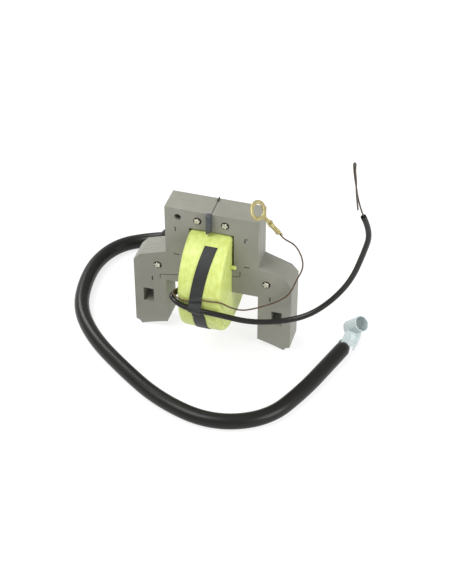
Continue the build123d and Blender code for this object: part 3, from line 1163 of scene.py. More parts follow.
    @staticmethod
    def rounded_section(low: Vector, high: Vector) -> list[tuple[float, float]]:
        """Plan of the strip with softly rounded front corners.

        Args:
            low: Lowest corner of the strip's box.
            high: Highest corner of the strip's box.

        Returns:
            Points in X and Y.
        """
        r = 0.00035
        corners = (
            (low.x + r, low.y + r, math.pi), (high.x - r, low.y + r, 1.5 * math.pi),
            (high.x - r, high.y - r, 0.0), (low.x + r, high.y - r, 0.5 * math.pi),
        )
        points = []
        for x, y, start in corners:
            for i in range(5):
                angle = start + math.pi / 2 * i / 4
                points.append((x + r * math.cos(angle), y + r * math.sin(angle)))
        return points

    def build(self) -> None:
        """Build the whole stack."""
        self.half(-1, "core_sheets_left", "core_left_half", 11)
        self.half(1, "core_sheets_right", "core_right_half", 23)
        self.rivet_heads()
        self.keeper()
        dress("gap_spacer", Finishes.spacer_fibre)


# ---------------------------------------------------------------------------
# Taped coil
# ---------------------------------------------------------------------------
@dataclass
class TapedCoil:
    """The coil: its tape wrap, its tail, the tape that holds the leads, and the windings."""

    bar_half_depth: float = 0.00635
    bar_half_height: float = 0.006275
    bar_middle: float = 0.035125
    bulge: float = 1.0 / 18.7
    corner_growth: float = 1.18
    form_fit: float = 0.0001
    skin: float = 0.00045
    rim_round: float = 0.00185
    steps: int = 420
    fold_width: float = 0.0030
    fold_rise: float = 0.00013
    fold_groove: float = 0.00016
    fold_edge: float = 0.00022
    third_fold: float = 0.0092
    flank_rows: int = 60
    inner_fold: float = 0.0062
    crown: float = 0.00022
    lap_place: float = 0.865
    lap_length: float = 0.148
    lap_slant: float = 0.0016
    lap_step: float = 0.00012
    tape_width: float = 0.0057
    tape_thickness: float = 0.00028
    tape_ends: tuple[float, float] = (0.168, -0.262)
    tape_steps: int = 190
    tape_across: int = 12
    crown_half: float = 0.0099

    def __post_init__(self) -> None:
        """Read the coil's outer size from the frame."""
        low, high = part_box("coil_wrap")
        self.left, self.right = low.x, high.x
        self.build_up = high.z - self.bar_middle - self.bar_half_height
        self.middle = (self.left + self.right) / 2

    def section(self, build_up: float, share: float) -> tuple[float, float, float, float]:
        """Place and outward direction on the coil's rounded oblong.

        Args:
            build_up: Height of the surface above the bar.
            share: Share of the way round, from the middle of the front and upwards.

        Returns:
            Y, Z, and the direction's Y and Z.
        """
        a = self.bar_half_depth + build_up * (1 + self.bulge)
        b = self.bar_half_height + build_up
        c = self.corner_growth * (build_up - self.form_fit)
        quarter = math.pi * c / 2
        runs = (b - c, quarter, 2 * (a - c), quarter, 2 * (b - c), quarter, 2 * (a - c), quarter, b - c)
        way = (share % 1.0) * sum(runs)
        part = 0
        while part < len(runs) - 1 and way > runs[part]:
            way -= runs[part]
            part += 1
        if part in (0, 8):
            z = way if part == 0 else way - (b - c)
            return -a, self.bar_middle + z, -1.0, 0.0
        if part == 4:
            return a, self.bar_middle + (b - c) - way, 1.0, 0.0
        if part in (2, 6):
            sign = 1 if part == 2 else -1
            return sign * (way - (a - c)), self.bar_middle + sign * b, 0.0, float(sign)
        start = {1: math.pi, 3: math.pi / 2, 5: 0.0, 7: -math.pi / 2}[part]
        angle = start - (way / quarter) * math.pi / 2
        y_sign = -1 if part in (1, 7) else 1
        z_sign = 1 if part in (1, 3) else -1
        ny, nz = math.cos(angle), math.sin(angle)
        y = y_sign * (a - c) + c * ny
        z = self.bar_middle + z_sign * (b - c) + c * nz
        return y, z, ny, nz

    def profile(self) -> list[tuple[float, float, float]]:
        """Cross-section of the wrap: X, build-up, and which flank (-1, 0 or 1).

        Returns:
            Points from the left flank over the rim to the right flank.
        """
        top, r = self.build_up, self.rim_round
        rows = self.flank_rows
        flank = [self.form_fit + (top - r - self.form_fit) * i / rows for i in range(rows)]
        points = [(self.left, w, -1.0) for w in flank]
        for i in range(9):
            angle = math.pi / 2 * i / 8
            points.append((self.left + r - r * math.cos(angle), top - r + r * math.sin(angle), -1.0))
        for i in range(1, 14):
            points.append((self.left + r + (self.right - self.left - 2 * r) * i / 14, top, 0.0))
        for i in range(9):
            angle = math.pi / 2 * (1 - i / 8)
            points.append((self.right - r + r * math.cos(angle), top - r + r * math.sin(angle), 1.0))
        points += [(self.right, w, 1.0) for w in reversed(flank)]
        return points

    def worked(self, x: float, w: float, flank: float, share: float) -> tuple[float, float]:
        """Add folds, pleats and the crown of the taped surface.

        Args:
            x: Place along the bar.
            w: Build-up above the bar.
            flank: -1 on the left flank, 1 on the right one, 0 on the rim.
            share: Share of the way round.

        Returns:
            The worked X and build-up.
        """
        round_trip = Vector((math.cos(2 * math.pi * share), math.sin(2 * math.pi * share), 0.0))
        half = (self.right - self.left) / 2
        across = (x - self.middle) / half
        w -= self.crown * across**2
        w -= 0.00005 * (1 + ripple(round_trip * 0.02 + Vector((x, 0, 0)), 0.006, 3.0))
        if flank:
            wave = 0.0004 * ripple(round_trip, 0.16, 5.0 + flank)
            depth = self.build_up - w
            fold = self.soft_step(self.fold_width + wave - depth, self.fold_edge)
            inner = self.soft_step(self.inner_fold - 1.5 * wave - depth, self.fold_edge)
            third = self.soft_step(self.third_fold + wave - depth, self.fold_edge)
            pleat = ripple(round_trip, 0.055, 9.0 + flank) * 0.00005 * fold
            fallen = (1 - fold) + 0.6 * (1 - inner) + 0.4 * (1 - third)
            edges = (self.fold_width + wave, self.inner_fold - 1.5 * wave, self.third_fold + wave)
            nearest = min(abs(depth - edge - self.fold_edge) for edge in edges)
            groove = self.fold_groove * math.exp(-((nearest / 0.0003) ** 2))
            inset = self.fold_rise * fallen + groove + 0.00005
            x -= flank * max(inset + pleat, 0.0)
        past = (share - self.lap_place - self.lap_slant * across) % 1.0
        lap = self.soft_step(past * self.lap_length, 0.0002)
        w -= self.lap_step * (1 - lap) if share < 0.95 else 0.0
        return x, w

    @staticmethod
    def soft_step(distance: float, width: float) -> float:
        """Rise from 0 to 1 as a distance passes zero."""
        share = min(max(distance / width + 0.5, 0.0), 1.0)
        return share * share * (3 - 2 * share)

    def wrap(self) -> None:
        """Make the tape wrap as a shell that is open towards the bar."""
        rows = []
        outer = self.profile()
        inner = outer[::-1]
        for i in range(self.steps):
            share = i / self.steps
            row = []
            for x, w, flank in outer:
                xx, ww = self.worked(x, w, flank, share)
                y, z, _, _ = self.section(ww, share)
                row.append(Vector((xx, y, z)))
            for x, w, flank in inner[::3]:
                pull = self.skin + self.fold_rise * 2.0
                xx = min(max(x, self.left + pull), self.right - pull)
                ww = min(w, self.build_up - pull - self.crown)
                y, z, _, _ = self.section(ww, share)
                row.append(Vector((xx, y, z)))
            rows.append(row)
        mesh = grid_mesh("tape_wrap", rows, loop_rows=True)
        place(add_object("tape_wrap", mesh), Finishes.winding_tape, "winding_tape", "coil_wrap")

    def tail(self) -> None:
        """Make the taped winding end that stands out of the right flank."""
        low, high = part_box("winding_tail")
        middle = (low + high) / 2
        length, r = high.x - low.x + 0.0003, (high.y - low.y) / 2
        profile = [(AXIS, 0.0), (r * 0.92, 0.0)]
        profile += [(r * (0.92 + 0.06 * math.sin(2.4 * i)), length * i / 9) for i in range(1, 7)]
        profile += [(r * 0.86, length * 0.82), (r * 0.62, length * 0.95), (r * 0.3, length * 0.99)]
        profile += [(AXIS, length)]
        matrix = frame_at(Vector((low.x - 0.0003, middle.y, middle.z)), Vector((0, 1, 0)), Vector((1, 0, 0)))

        def pinch(angle: float, radius: float, height: float) -> tuple[float, float]:
            """Squeeze the stub a little out of round towards its tip."""
            return radius * (1 - 0.1 * height / length * (1 + math.cos(2 * angle))), height

        mesh = lathe("winding_tail_stub", profile, matrix, 32, pinch)
        piece = add_object("winding_tail_stub", mesh)
        place(piece, Finishes.winding_tape, "winding_tape", "winding_tail")

    def strip_middle(self, share: float) -> float:
        """Where the hold-down tape's middle runs, as it slants round the front.

        Args:
            share: Share of the way round the coil, negative below the front's middle.

        Returns:
            X of the strip's middle.
        """
        stops = (
            (0.17, 0.0022), (0.09, 0.0003), (0.02, -0.0013),
            (-0.01, -0.0013), (-0.05, 0.0), (-0.262, 0.0001),
        )
        for (high, x_high), (low, x_low) in zip(stops, stops[1:]):
            if share >= low:
                part = (share - low) / (high - low)
                return x_low + (x_high - x_low) * part
        return stops[-1][1]

    def lift(self, x: float, share: float, leads: Sequence[tuple[list[Vector], float]]) -> float:
        """Height of the hold-down tape above the wrap where it passes over a lead.

        Args:
            x: Place along the bar.
            share: Share of the way round, negative below the front's middle.
            leads: Line and radius of each lead under the tape.

        Returns:
            Height in metres.
        """
        height = 0.0
        y, z, ny, nz = self.section(self.build_up, share)
        for line, radius in leads:
            near = min(line, key=lambda p: abs(p.x - x) + 0.4 * abs(p.y - y) + 0.2 * abs(p.z - z))
            offset = near.yz - Vector((y, z))
            along = offset.dot(Vector((-nz, ny)))
            above = offset.dot(Vector((ny, nz))) + radius
            reach = 2.6 * radius + 0.0008
            if abs(along) < reach and above > 0:
                bell = 0.5 + 0.5 * math.cos(math.pi * along / reach)
                height = max(height, (above + 0.0001) * bell**0.75)
        return height

    def hold_down(self, leads: Sequence[tuple[list[Vector], float]]) -> bpy.types.Object:
        """Lay the black tape over the leads and round the coil.

        Args:
            leads: Line and radius of each lead under the tape.

        Returns:
            The tape.
        """
        rows = []
        first, last = self.tape_ends
        across = self.tape_across
        for i in range(self.tape_steps + 1):
            share = first + (last - first) * i / self.tape_steps
            middle = self.strip_middle(share)
            top, under = [], []
            for j in range(across + 1):
                x = middle + self.tape_width * (j / across - 0.5)
                y, z, ny, nz = self.section(self.build_up, share)
                height = self.lift(x, share, leads)
                height -= self.crown * ((x - self.middle) / self.crown_half) ** 2
                edge = 0.00004 * ripple(Vector((x, y, z)), 0.004, 2.0)
                base = Vector((x, y, z)) + Vector((0, ny, nz)) * (height + edge - 0.00002)
                under.append(base)
                top.append(base + Vector((0, ny, nz)) * self.tape_thickness)
            rows.append(top + under[::-1])
        mesh = grid_mesh("lead_tape_strip", rows, cap_ends=True)
        piece = add_object("lead_tape_strip", mesh)
        return place(piece, Finishes.cloth_tape, "cloth_tape", "lead_tape")

    def windings(self) -> None:
        """Finish the pieces that lie inside the wrap."""
        for node in ("primary_winding", "secondary_winding"):
            dress(node, Finishes.copper_turns)
        for node in ("coil_form", "coil_cheek_left", "coil_cheek_right"):
            dress(node, Finishes.form_fibre)
        dress("winding_barrier", Finishes.barrier_film)
        dress("secondary_tap", Finishes.strand)

    def build(self) -> None:
        """Build the coil without the tape over the leads."""
        self.wrap()
        self.tail()
        self.windings()


# ---------------------------------------------------------------------------
# High-voltage lead
# ---------------------------------------------------------------------------
@dataclass
class PlugTerminal:
    """Sheet-metal clip at the lead's end: rolled barrel, channel neck and spike."""

    origin: Vector
    heading: Vector
    neck_turn: float = math.radians(12.0)
    neck_shift: float = 0.001
    tilt: float = math.radians(46.0)
    swing: float = math.radians(21.2)
    reach: float = 0.0129
    lift: float = 0.0026
    bore: float = 0.0032
    sheet: float = 0.0005
    length: float = 0.0095
    neck_top: float = 0.0019
    neck_drop: float = 0.0034
    spike: float = 0.0007
    neck_start: float = 0.0003

    def __post_init__(self) -> None:
        """Work out the neck's and the barrel's directions and the folded wall."""
        self.wall = self.sheet * 0.9
        up = Vector((0.0, 0.0, 1.0))
        self.along = (Matrix.Rotation(self.neck_turn, 3, up) @ self.heading).normalized()
        start = self.origin + self.heading.cross(up) * self.neck_shift
        self.neck = frame_at(start, self.along, up)
        across = Matrix.Rotation(-self.swing, 3, up) @ self.along
        self.axis = across.cross(up) * math.cos(self.tilt) + up * math.sin(self.tilt)
        centre = start + self.along * self.reach + up * self.lift
        self.barrel = frame_at(centre, across, self.axis)

    def barrel_mesh(self) -> bpy.types.Mesh:
        """Roll the barrel with softly rounded rims and a closed seam.

        Returns:
            The barrel.
        """
        inner, outer = self.bore, self.bore + self.sheet
        half, r = self.length / 2, self.sheet * 0.42
        profile = []
        for height, first in ((-half, math.pi), (half, 0.0)):
            for i in range(9):
                angle = first + math.pi * i / 8
                profile.append(((inner + outer) / 2 + r * math.cos(angle), height + r * math.sin(angle)))
        middle = [(outer, half * s) for s in (-0.8, -0.4, 0.0, 0.4, 0.8)]
        walls = profile[:9] + middle + profile[9:]
        walls += [(inner, -height) for _, height in middle]

        def seam(angle: float, radius: float, height: float) -> tuple[float, float]:
            """Press a shallow seam along the barrel, on the neck's side.

            Args:
                angle: Angle round the axis.
                radius: Radius before it is shaped.
                height: Height before it is shaped.

            Returns:
                The new radius and height.
            """
            away = abs((angle - math.pi * 0.82 + math.pi) % (2 * math.pi) - math.pi)
            dent = 0.00022 * math.exp(-((away / 0.07) ** 2))
            flare = 0.00006 * (height / half) ** 4
            return radius - dent + (flare if radius > inner + self.sheet / 2 else 0.0), height * 0.98

        return lathe("barrel", walls, self.barrel, 96, seam)

    def neck_section(self, share: float) -> list[tuple[float, float]]:
        """Section of the folded neck: a groove between two flanges that point down.

        Args:
            share: Share of the way from the lead to the barrel.

        Returns:
            Points as (across, up), from the right flange's foot to the left one's.
        """
        half = 0.0030 + 0.0003 * math.sin(math.pi * share)
        top = self.neck_top
        fade = min(max((0.72 - share) / 0.3, 0.0), 1.0)
        groove = 0.0013 * fade * fade * (3 - 2 * fade)
        right = top - 0.35 * groove
        foot = top - self.neck_drop
        return [
            (-half, foot), (-half, foot + 0.0008), (-half, right - 0.0007),
            (-half + 0.0002, right - 0.0001), (-half + 0.0006, right),
            (-0.0011, top - 0.75 * groove), (-0.0002, top - groove),
            (0.0002, top - groove), (0.0008, top - 0.7 * groove), (half - 0.0009, top - 0.1 * groove),
            (half - 0.0003, top), (half, top - 0.0005), (half, foot + 0.0012), (half, foot),
        ]

    def neck_mesh(self) -> bpy.types.Mesh:
        """Fold the neck from sheet.

        Returns:
            The neck.
        """
        rows = []
        start, steps = self.neck_start, 22
        for i in range(steps + 1):
            share = i / steps
            x = start + (self.reach - start - 0.0008) * share
            rows.append([self.neck @ Vector((x, y, z)) for y, z in self.neck_section(share)])
        return sheet_metal("neck", rows, self.wall)

    def ear_mesh(self) -> bpy.types.Mesh:
        """Bend the ear that stands beside the neck at the lead's end.

        Returns:
            The ear.
        """
        rows = []
        for i in range(9):
            share = i / 8
            x = self.neck_start + 0.0004 + 0.0030 * share
            y = 0.0043 - 0.0011 * share**2
            low, high = -0.0012, 0.0010 + 0.0006 * math.sin(math.pi * share)
            column = [(y - 0.0010, low - 0.0001), (y - 0.0003, low), (y, low + 0.0004), (y, high)]
            rows.append([self.neck @ Vector((x, across, up)) for across, up in column])
        return sheet_metal("ear", rows, self.wall)

    def eyelet_mesh(self) -> bpy.types.Mesh:
        """Punch the small deep relief hole where the neck meets the barrel.

        Returns:
            The eyelet.
        """
        place_here = frame_at(
            self.neck @ Vector((self.reach - 0.0024, -0.0016, 0.0017)),
            self.along, Vector((0.25, -0.55, 0.8)),
        )
        profile = [
            (0.00062, 0.0004), (0.0009, 0.0002), (0.0009, -0.0014), (AXIS, -0.0014),
            (AXIS, -0.0012), (0.00062, -0.0012),
        ]
        return lathe("eyelet", profile, place_here, 24)

    def tab_mesh(self) -> bpy.types.Mesh:
        """Round washer-like tab that bears on the lead's cut face.

        Returns:
            The tab.
        """
        place_here = frame_at(self.origin + self.heading * 0.0001, Vector((0, 0, 1)), self.heading)
        r, t = 0.0026, self.sheet
        profile = [
            (AXIS, 0.0), (r - 0.0001, 0.0), (r, 0.0001), (r, t - 0.0001), (r - 0.0001, t), (AXIS, t),
        ]
        return lathe("tab", profile, place_here, 40)

    def spike_mesh(self) -> bpy.types.Mesh:
        """Pointed spike that is driven into the lead's core.

        Returns:
            The spike.
        """
        start = self.origin + self.heading * 0.0003
        place_here = frame_at(start, Vector((0, 0, 1)), -self.heading)
        r = self.spike
        profile = [(AXIS, 0.0), (r, 0.0), (r, 0.0055), (r * 0.5, 0.0066), (AXIS, 0.0071)]
        return lathe("spike", profile, place_here, 20)

    def build(self) -> bpy.types.Object:
        """Build the clip as one piece of sheet metal.

        Returns:
            The clip.
        """
        meshes = (
            self.barrel_mesh(), self.neck_mesh(), self.ear_mesh(), self.eyelet_mesh(),
            self.tab_mesh(), self.spike_mesh(),
        )
        piece = add_object("plug_clip", joined("plug_clip", meshes))
        return place(piece, Finishes.zinc_plate, "zinc_plate", "plug_terminal")


@dataclass
class HighVoltageLead:
    """The thick lead with its boot at the coil and the clip for the plug."""

    radius: float = 0.0035
    boot_radius: float = 0.0055
    length: float = 0.3192
    exit: Point = (-0.00586, 0.02605, 0.03397)
    boot_end: float = -0.0433
    route: list[Point] = field(
        default_factory=lambda: [
            (-0.0035, 0.0210, 0.0370), (-0.0105, 0.0360, 0.0280), (-0.0200, 0.0465, 0.0175),
            (-0.0330, 0.0500, 0.0086), (-0.0500, 0.0498, 0.0042), (-0.0630, 0.0424, 0.0035),
            (-0.0693, 0.0270, 0.0035), (-0.0686, 0.0085, 0.0035), (-0.0638, -0.0095, 0.0035),
            (-0.0510, -0.0263, 0.0035), (-0.0320, -0.0415, 0.0035), (-0.0090, -0.0570, 0.0035),
            (0.0170, -0.0645, 0.0035), (0.0400, -0.0550, 0.0035), (0.0505, -0.0330, 0.0035),
            (0.0570, -0.0130, 0.0035), (0.0612, 0.0002, 0.0035),
        ]
    )

    def cable(self, line: list[Vector]) -> bpy.types.Object:
        """Make the jacket with a softly rounded cut end.

        Args:
            line: Points of the lead's smooth line.

        Returns:
            The jacket.
        """
        soft = 0.0009

        def thickness(_: float, left: float) -> float:
            """Radius that rounds off over the last millimetre.

            Args:
                _: Distance from the start, unused.
                left: Distance to the cut end.

            Returns:
                The radius.
            """
            if left >= soft:
                return self.radius
            share = 1 - left / soft
            return self.radius - soft * (1 - math.sqrt(max(1 - share**2, 0.0))) * 0.9

        rings = tube_rings(line, thickness, 40)
        mesh = grid_mesh("hv_cable", rings, cap_ends=True)
        piece = add_object("hv_cable", mesh)
        return place(piece, Finishes.lead_rubber, "lead_rubber", "hv_lead")

    def boot(self, line: list[Vector]) -> bpy.types.Object:
        """Make the boot: thick at the coil, lipped at its mouth.

        Args:
            line: Points of the lead's smooth line.

        Returns:
            The boot.
        """
        mouth = next(i for i, p in enumerate(line) if p.x < self.boot_end)
        part = line[:mouth]
        lip = 0.0022

        def outside(done: float, left: float) -> float:
            """Outer radius: a slight swell at the coil and a cone at the mouth.

            Args:
                done: Distance from the coil's end.
                left: Distance to the mouth.

            Returns:
                The outer radius.
            """
            swell = 0.0002 * math.exp(-((done - 0.009) / 0.004) ** 2)
            cone = 0.0017 * max(1 - left / lip, 0.0)
            return self.boot_radius - 0.0001 + swell - cone

        outer = tube_rings(part, outside, 40)
        inner = tube_rings(part, lambda _done, _left: self.radius + 0.0001, 40)
        mesh = grid_mesh("hv_boot_sleeve", outer + inner[::-1], loop_rows=True)
        piece = add_object("hv_boot_sleeve", mesh)
        return place(piece, Finishes.boot_rubber, "boot_rubber", "hv_boot")

    def build(self) -> None:
        """Build the lead and everything on it."""
        line = route_line(self.route)
        cable = self.cable(line)
        boot = self.boot(line)
        heading = (Vector(self.route[-1]) - Vector(self.route[-2])).normalized()
        clip = PlugTerminal(Vector(self.route[-1]), heading).build()
        dress("hv_lead_core", Finishes.strand)


# ---------------------------------------------------------------------------
# Primary and ground leads
# ---------------------------------------------------------------------------
@dataclass
class PrimaryLead:
    """Bare wire in a varnished sleeve, folded back at its free end."""

    wire_radius: float = 0.00035
    sleeve_radius: float = 0.00125
    sleeve_bore: float = 0.00095
    sleeve_length: float = 0.1380
    wire_length: float = 0.1885
    exit: Point = (-0.01015, -0.0165, 0.0352)
    sleeve_route: list[Point] = field(
        default_factory=lambda: [
            (-0.01015, -0.0165, 0.0352), (-0.0130, -0.0205, 0.0346), (-0.0129, -0.0262, 0.0362),
            (-0.0055, -0.0280, 0.0333), (0.0085, -0.0275, 0.0328), (0.0220, -0.0248, 0.0293),
            (0.0350, -0.0200, 0.0286), (0.0470, -0.0158, 0.0315), (0.0565, -0.0120, 0.0395),
            (0.0640, -0.0098, 0.0510), (0.0683, -0.0090, 0.0660), (0.0710, -0.0102, 0.0790),
            (0.0677, -0.0130, 0.0882),
        ]
    )
    bare_route: list[Point] = field(
        default_factory=lambda: [
            (0.0653, -0.0139, 0.0965), (0.0641, -0.0143, 0.1035), (0.0631, -0.0145, 0.1093),
            (0.06275, -0.0146, 0.1124), (0.0626, -0.01465, 0.1140), (0.0627, -0.0147, 0.11515),
            (0.0634, -0.0149, 0.1151), (0.06345, -0.01495, 0.1138), (0.0634, -0.0150, 0.1116),
            (0.0641, -0.01515, 0.1076), (0.0645, -0.0153, 0.1010), (0.0657, -0.0154, 0.0929),
        ]
    )

    def sleeve(self, line: list[Vector]) -> bpy.types.Object:
        """Make the sleeve as an open tube with a thin rim.

        Args:
            line: Points of the sleeve's smooth line.

        Returns:
            The sleeve.
        """
        outer = tube_rings(line, lambda _done, _left: self.sleeve_radius, 28)
        inner = tube_rings(line, lambda _done, _left: self.sleeve_bore, 28)
        mesh = grid_mesh("wire_sleeve", outer + inner[::-1], loop_rows=True)
        piece = add_object("wire_sleeve", mesh)
        return place(piece, Finishes.sleeve_varnish, "sleeve_plastic", "primary_sleeve")

    def build(self) -> list[Vector]:
        """Build the lead.

        Returns:
            The sleeve's line.
        """
        line = route_line(self.sleeve_route)
        sleeve = self.sleeve(line)
        wire = route_curve("bare_wire", self.sleeve_route + self.bare_route, self.wire_radius)
        place(wire, Finishes.tinned_wire, "tinned_wire", "primary_wire")
        return line


@dataclass
class RingTerminal:
    """Brass eye with a crimped barrel."""

    centre: Vector = field(default_factory=lambda: Vector((0.0218, -0.0092, 0.0790)))
    along: Vector = field(default_factory=lambda: Vector((0.563, 0.184, -0.804)))
    facing: Vector = field(default_factory=lambda: Vector((0.794, -0.371, 0.482)))
    outer: float = 0.0045
    bore: float = 0.00275
    sheet: float = 0.0008
    crimp: float = 0.00115
    crimp_start: float = 0.0088
    crimp_length: float = 0.0062
    ribs: int = 7

    def __post_init__(self) -> None:
        """Work out the eye's frame: X towards the crimp, Z out of its face."""
        self.frame = frame_at(self.centre, self.along, self.facing)

    def eye(self) -> bpy.types.Mesh:
        """Stamp the eye with rolled edges.

        Returns:
            The eye.
        """
        t, r = self.sheet / 2, 0.0003
        middle = []
        for x, z, start in (
            (self.outer - r, -t + r, 1.5), (self.outer - r, t - r, 0.0),
            (self.bore + r, t - r, 0.5), (self.bore + r, -t + r, 1.0),
        ):
            for i in range(5):
                angle = math.pi * (start + 0.5 * i / 4)
                middle.append((x + r * math.cos(angle), z + r * math.sin(angle)))
        return lathe("eye", middle, self.frame, 72)

    def neck(self) -> bpy.types.Mesh:
        """Shape the neck as a trough that narrows between the eye and the crimp.

        Returns:
            The neck.
        """
        rows = []
        first, last, steps = self.outer - 0.0009, self.crimp_start + 0.0006, 12
        for i in range(steps + 1):
            share = i / steps
            x = first + (last - first) * share
            half = 0.0019 - 0.0009 * math.sin(math.pi * min(share * 1.15, 1.0)) - 0.0003 * share
            trough = 0.0006 * share
            row = []
            for j in range(7):
                side = -1 + j / 3
                row.append(self.frame @ Vector((x, side * half, trough * (side * side - 0.5))))
            rows.append(row)
        return sheet_metal("ring_neck", rows, self.sheet * 0.8)

    def barrel(self) -> bpy.types.Mesh:
        """Crimp the barrel: ribs along it and a closing seam on its open side.

        Returns:
            The crimped barrel.
        """
        start = Matrix.Translation((self.crimp_start, 0, 0))
        turn = self.frame @ start @ Matrix.Rotation(math.pi / 2, 4, "Y")
        steps, length = 56, self.crimp_length
        profile = [(AXIS, 0.0), (self.crimp * 0.8, 0.0)]
        profile += [(self.crimp, length * (i + 0.5) / steps) for i in range(steps)]
        profile += [(self.crimp * 0.8, length), (0.00036, length)]
        profile += [(0.00036, length - 0.0009), (AXIS, length - 0.0009)]

        def ribbed(angle: float, radius: float, height: float) -> tuple[float, float]:
            """Ribs across the barrel and the seam where its two sides meet.

            Args:
                angle: Angle round the axis.
                radius: Radius before it is shaped.
                height: Height before it is shaped.

            Returns:
                The new radius and height.
            """
            if radius < self.crimp * 0.9:
                return radius, height
            share = height / length
            rib = 0.00007 * math.cos(2 * math.pi * self.ribs * share)
            seam = 0.0003 * math.exp(-(((angle - math.pi) / 0.25) ** 2))
            waist = 0.0001 * math.cos(2 * math.pi * share)
            return radius - 0.00008 + rib - seam + waist, height

        return lathe("ring_barrel", profile, turn, 40, ribbed)

    def stub(self) -> bpy.types.Mesh:
        """Cut end of the wire that sticks out beside the lead.

        Returns:
            The cut wire end.
        """
        start = Vector((self.crimp_start + self.crimp_length - 0.0006, 0.0005, 0.0002))
        turn = self.frame @ Matrix.Translation(start) @ Matrix.Rotation(math.pi / 2, 4, "Y")
        r, length = 0.00042, 0.0026
        profile = [(AXIS, 0.0), (r, 0.0), (r, length - 0.0001), (r * 0.7, length), (AXIS, length)]
        return lathe("wire_stub", profile, turn, 16)

    def build(self) -> bpy.types.Object:
        """Build the eye, its neck and its crimp as one piece.

        Returns:
            The ring terminal.
        """
        meshes = (self.eye(), self.neck(), self.barrel(), self.stub())
        piece = add_object("ring_eye", joined("ring_eye", meshes))
        return place(piece, Finishes.ring_brass, "ring_brass", "ring_terminal")


@dataclass
class GroundLead:
    """Thin enamelled wire from the coil to the ring terminal."""

    radius: float = 0.00035
    length: float = 0.1161
    exit: Point = (-0.01015, -0.0175, 0.0386)
    route: list[Point] = field(
        default_factory=lambda: [
            (-0.01015, -0.0175, 0.0370), (-0.0122, -0.0215, 0.0372), (-0.0126, -0.0248, 0.0386),
            (-0.0102, -0.0272, 0.0379), (-0.0048, -0.0269, 0.0362), (0.0005, -0.0266, 0.0383),
            (0.0055, -0.0267, 0.0385), (0.0102, -0.0263, 0.0389), (0.0130, -0.0228, 0.0340),
            (0.0170, -0.0176, 0.0288), (0.0212, -0.0116, 0.0260), (0.0265, -0.0084, 0.0268),
            (0.0330, -0.0079, 0.0310), (0.0373, -0.0083, 0.0368), (0.0393, -0.0086, 0.0440),
            (0.0423, -0.0081, 0.0512), (0.0412, -0.0070, 0.0568), (0.0376, -0.0059, 0.0618),
            (0.0329, -0.00555, 0.0632), (0.03127, -0.00620, 0.06570), (0.02802, -0.00723, 0.07027),
        ]
    )

    def build(self) -> list[Vector]:
        """Build the lead and its ring terminal.

        Returns:
            The wire's line.
        """
        ring = RingTerminal().build()
        wire = route_curve("enamel_lead", self.route, self.radius)
        place(wire, Finishes.enamel_wire, "enamel_wire", "ground_wire")
        return route_line(self.route)


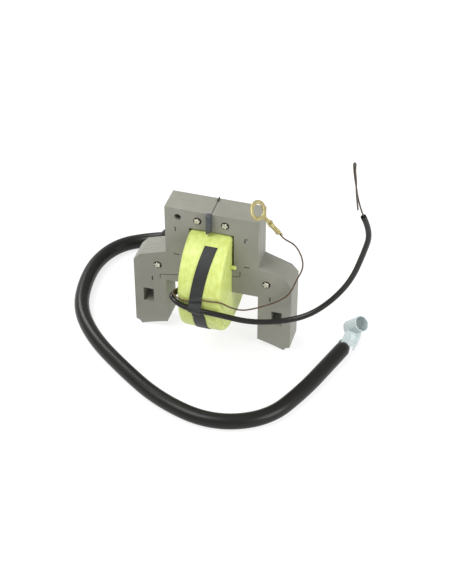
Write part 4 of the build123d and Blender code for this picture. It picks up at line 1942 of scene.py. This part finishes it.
# ---------------------------------------------------------------------------
# Studio
# ---------------------------------------------------------------------------
@dataclass
class Studio:
    """Pale floor, soft light and the camera."""

    camera_place: Point = (0.15167, -0.49538, 0.45076)
    camera_tilt: float = math.radians(50.362)
    camera_turn: float = math.radians(16.511)
    lens: float = 90.65
    floor_size: float = 4.0
    floor_glow: float = 0.78
    floor_shade: float = 0.22
    sky_strength: float = 0.55
    aim: Point = (0.0, 0.0, 0.03)

    def floor(self) -> None:
        """Lay a pale, even floor."""
        half = self.floor_size / 2
        corners = [(-half, -half, 0.0), (half, -half, 0.0), (half, half, 0.0), (-half, half, 0.0)]
        mesh = bpy.data.meshes.new("floor")
        mesh.from_pydata(corners, [], [(0, 1, 2, 3)])
        finish = bpy.data.materials.new("floor")
        finish.use_nodes = True
        shader = finish.node_tree.nodes["Principled BSDF"]
        shade = self.floor_shade
        shader.inputs["Base Color"].default_value = (shade, shade, shade, 1.0)
        shader.inputs["Roughness"].default_value = 0.7
        shader.inputs["Emission Color"].default_value = (1.0, 1.0, 1.0, 1.0)
        shader.inputs["Emission Strength"].default_value = self.floor_glow
        mesh.materials.append(finish)
        add_object("floor", mesh)

    def lamp(self, name: str, start: Point, size: float, power: float) -> None:
        """Hang one soft square lamp that points at the coil.

        Args:
            name: Name of the lamp.
            start: Where it hangs.
            size: Side of the square.
            power: Strength in watts.
        """
        light = bpy.data.lights.new(name, "AREA")
        light.shape = "SQUARE"
        light.size = size
        light.energy = power
        piece = add_object(name, light)
        piece.location = start
        heading = Vector(self.aim) - Vector(start)
        piece.rotation_euler = heading.to_track_quat("-Z", "Y").to_euler()

    def light(self) -> None:
        """Light the coil from all round, with soft lamps above, at the right and behind."""
        world = bpy.data.worlds.new("studio")
        world.use_nodes = True
        sky = world.node_tree.nodes["Background"]
        sky.inputs["Color"].default_value = (1.0, 1.0, 1.0, 1.0)
        sky.inputs["Strength"].default_value = self.sky_strength
        bpy.context.scene.world = world
        self.lamp("key", (-0.5, -0.45, 1.1), 0.7, 11.0)
        self.lamp("fill", (0.9, -0.3, 0.5), 0.6, 7.5)
        self.lamp("rim", (-0.7, 0.5, 0.7), 0.4, 5.0)

    def camera(self) -> None:
        """Set up the camera."""
        data = bpy.data.cameras.new("camera")
        data.lens = self.lens
        data.sensor_width = 36.0
        piece = add_object("camera", data)
        piece.location = self.camera_place
        piece.rotation_euler = (self.camera_tilt, 0.0, self.camera_turn)
        bpy.context.scene.camera = piece
        bpy.context.scene.view_settings.view_transform = "Standard"

    def build(self) -> None:
        """Build the studio."""
        self.floor()
        self.light()
        self.camera()


def main() -> None:
    """Build every sub-assembly in order."""
    logging.basicConfig(level=logging.INFO, format="%(name)s: %(message)s")
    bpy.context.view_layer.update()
    Studio().build()
    HighVoltageLead().build()
    primary = PrimaryLead()
    sleeve_line = primary.build()
    ground = GroundLead()
    ground_line = ground.build()
    coil = TapedCoil()
    coil.build()
    coil.hold_down([(sleeve_line, primary.sleeve_radius), (ground_line, ground.radius)])
    LaminationStack().build()


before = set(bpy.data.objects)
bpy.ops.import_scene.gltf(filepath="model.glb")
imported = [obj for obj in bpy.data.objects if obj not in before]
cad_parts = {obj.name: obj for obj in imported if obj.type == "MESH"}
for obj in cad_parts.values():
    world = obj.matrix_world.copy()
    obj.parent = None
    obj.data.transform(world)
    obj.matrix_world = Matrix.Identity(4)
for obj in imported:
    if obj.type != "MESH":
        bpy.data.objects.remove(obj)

if __name__ == "__main__":
    main()
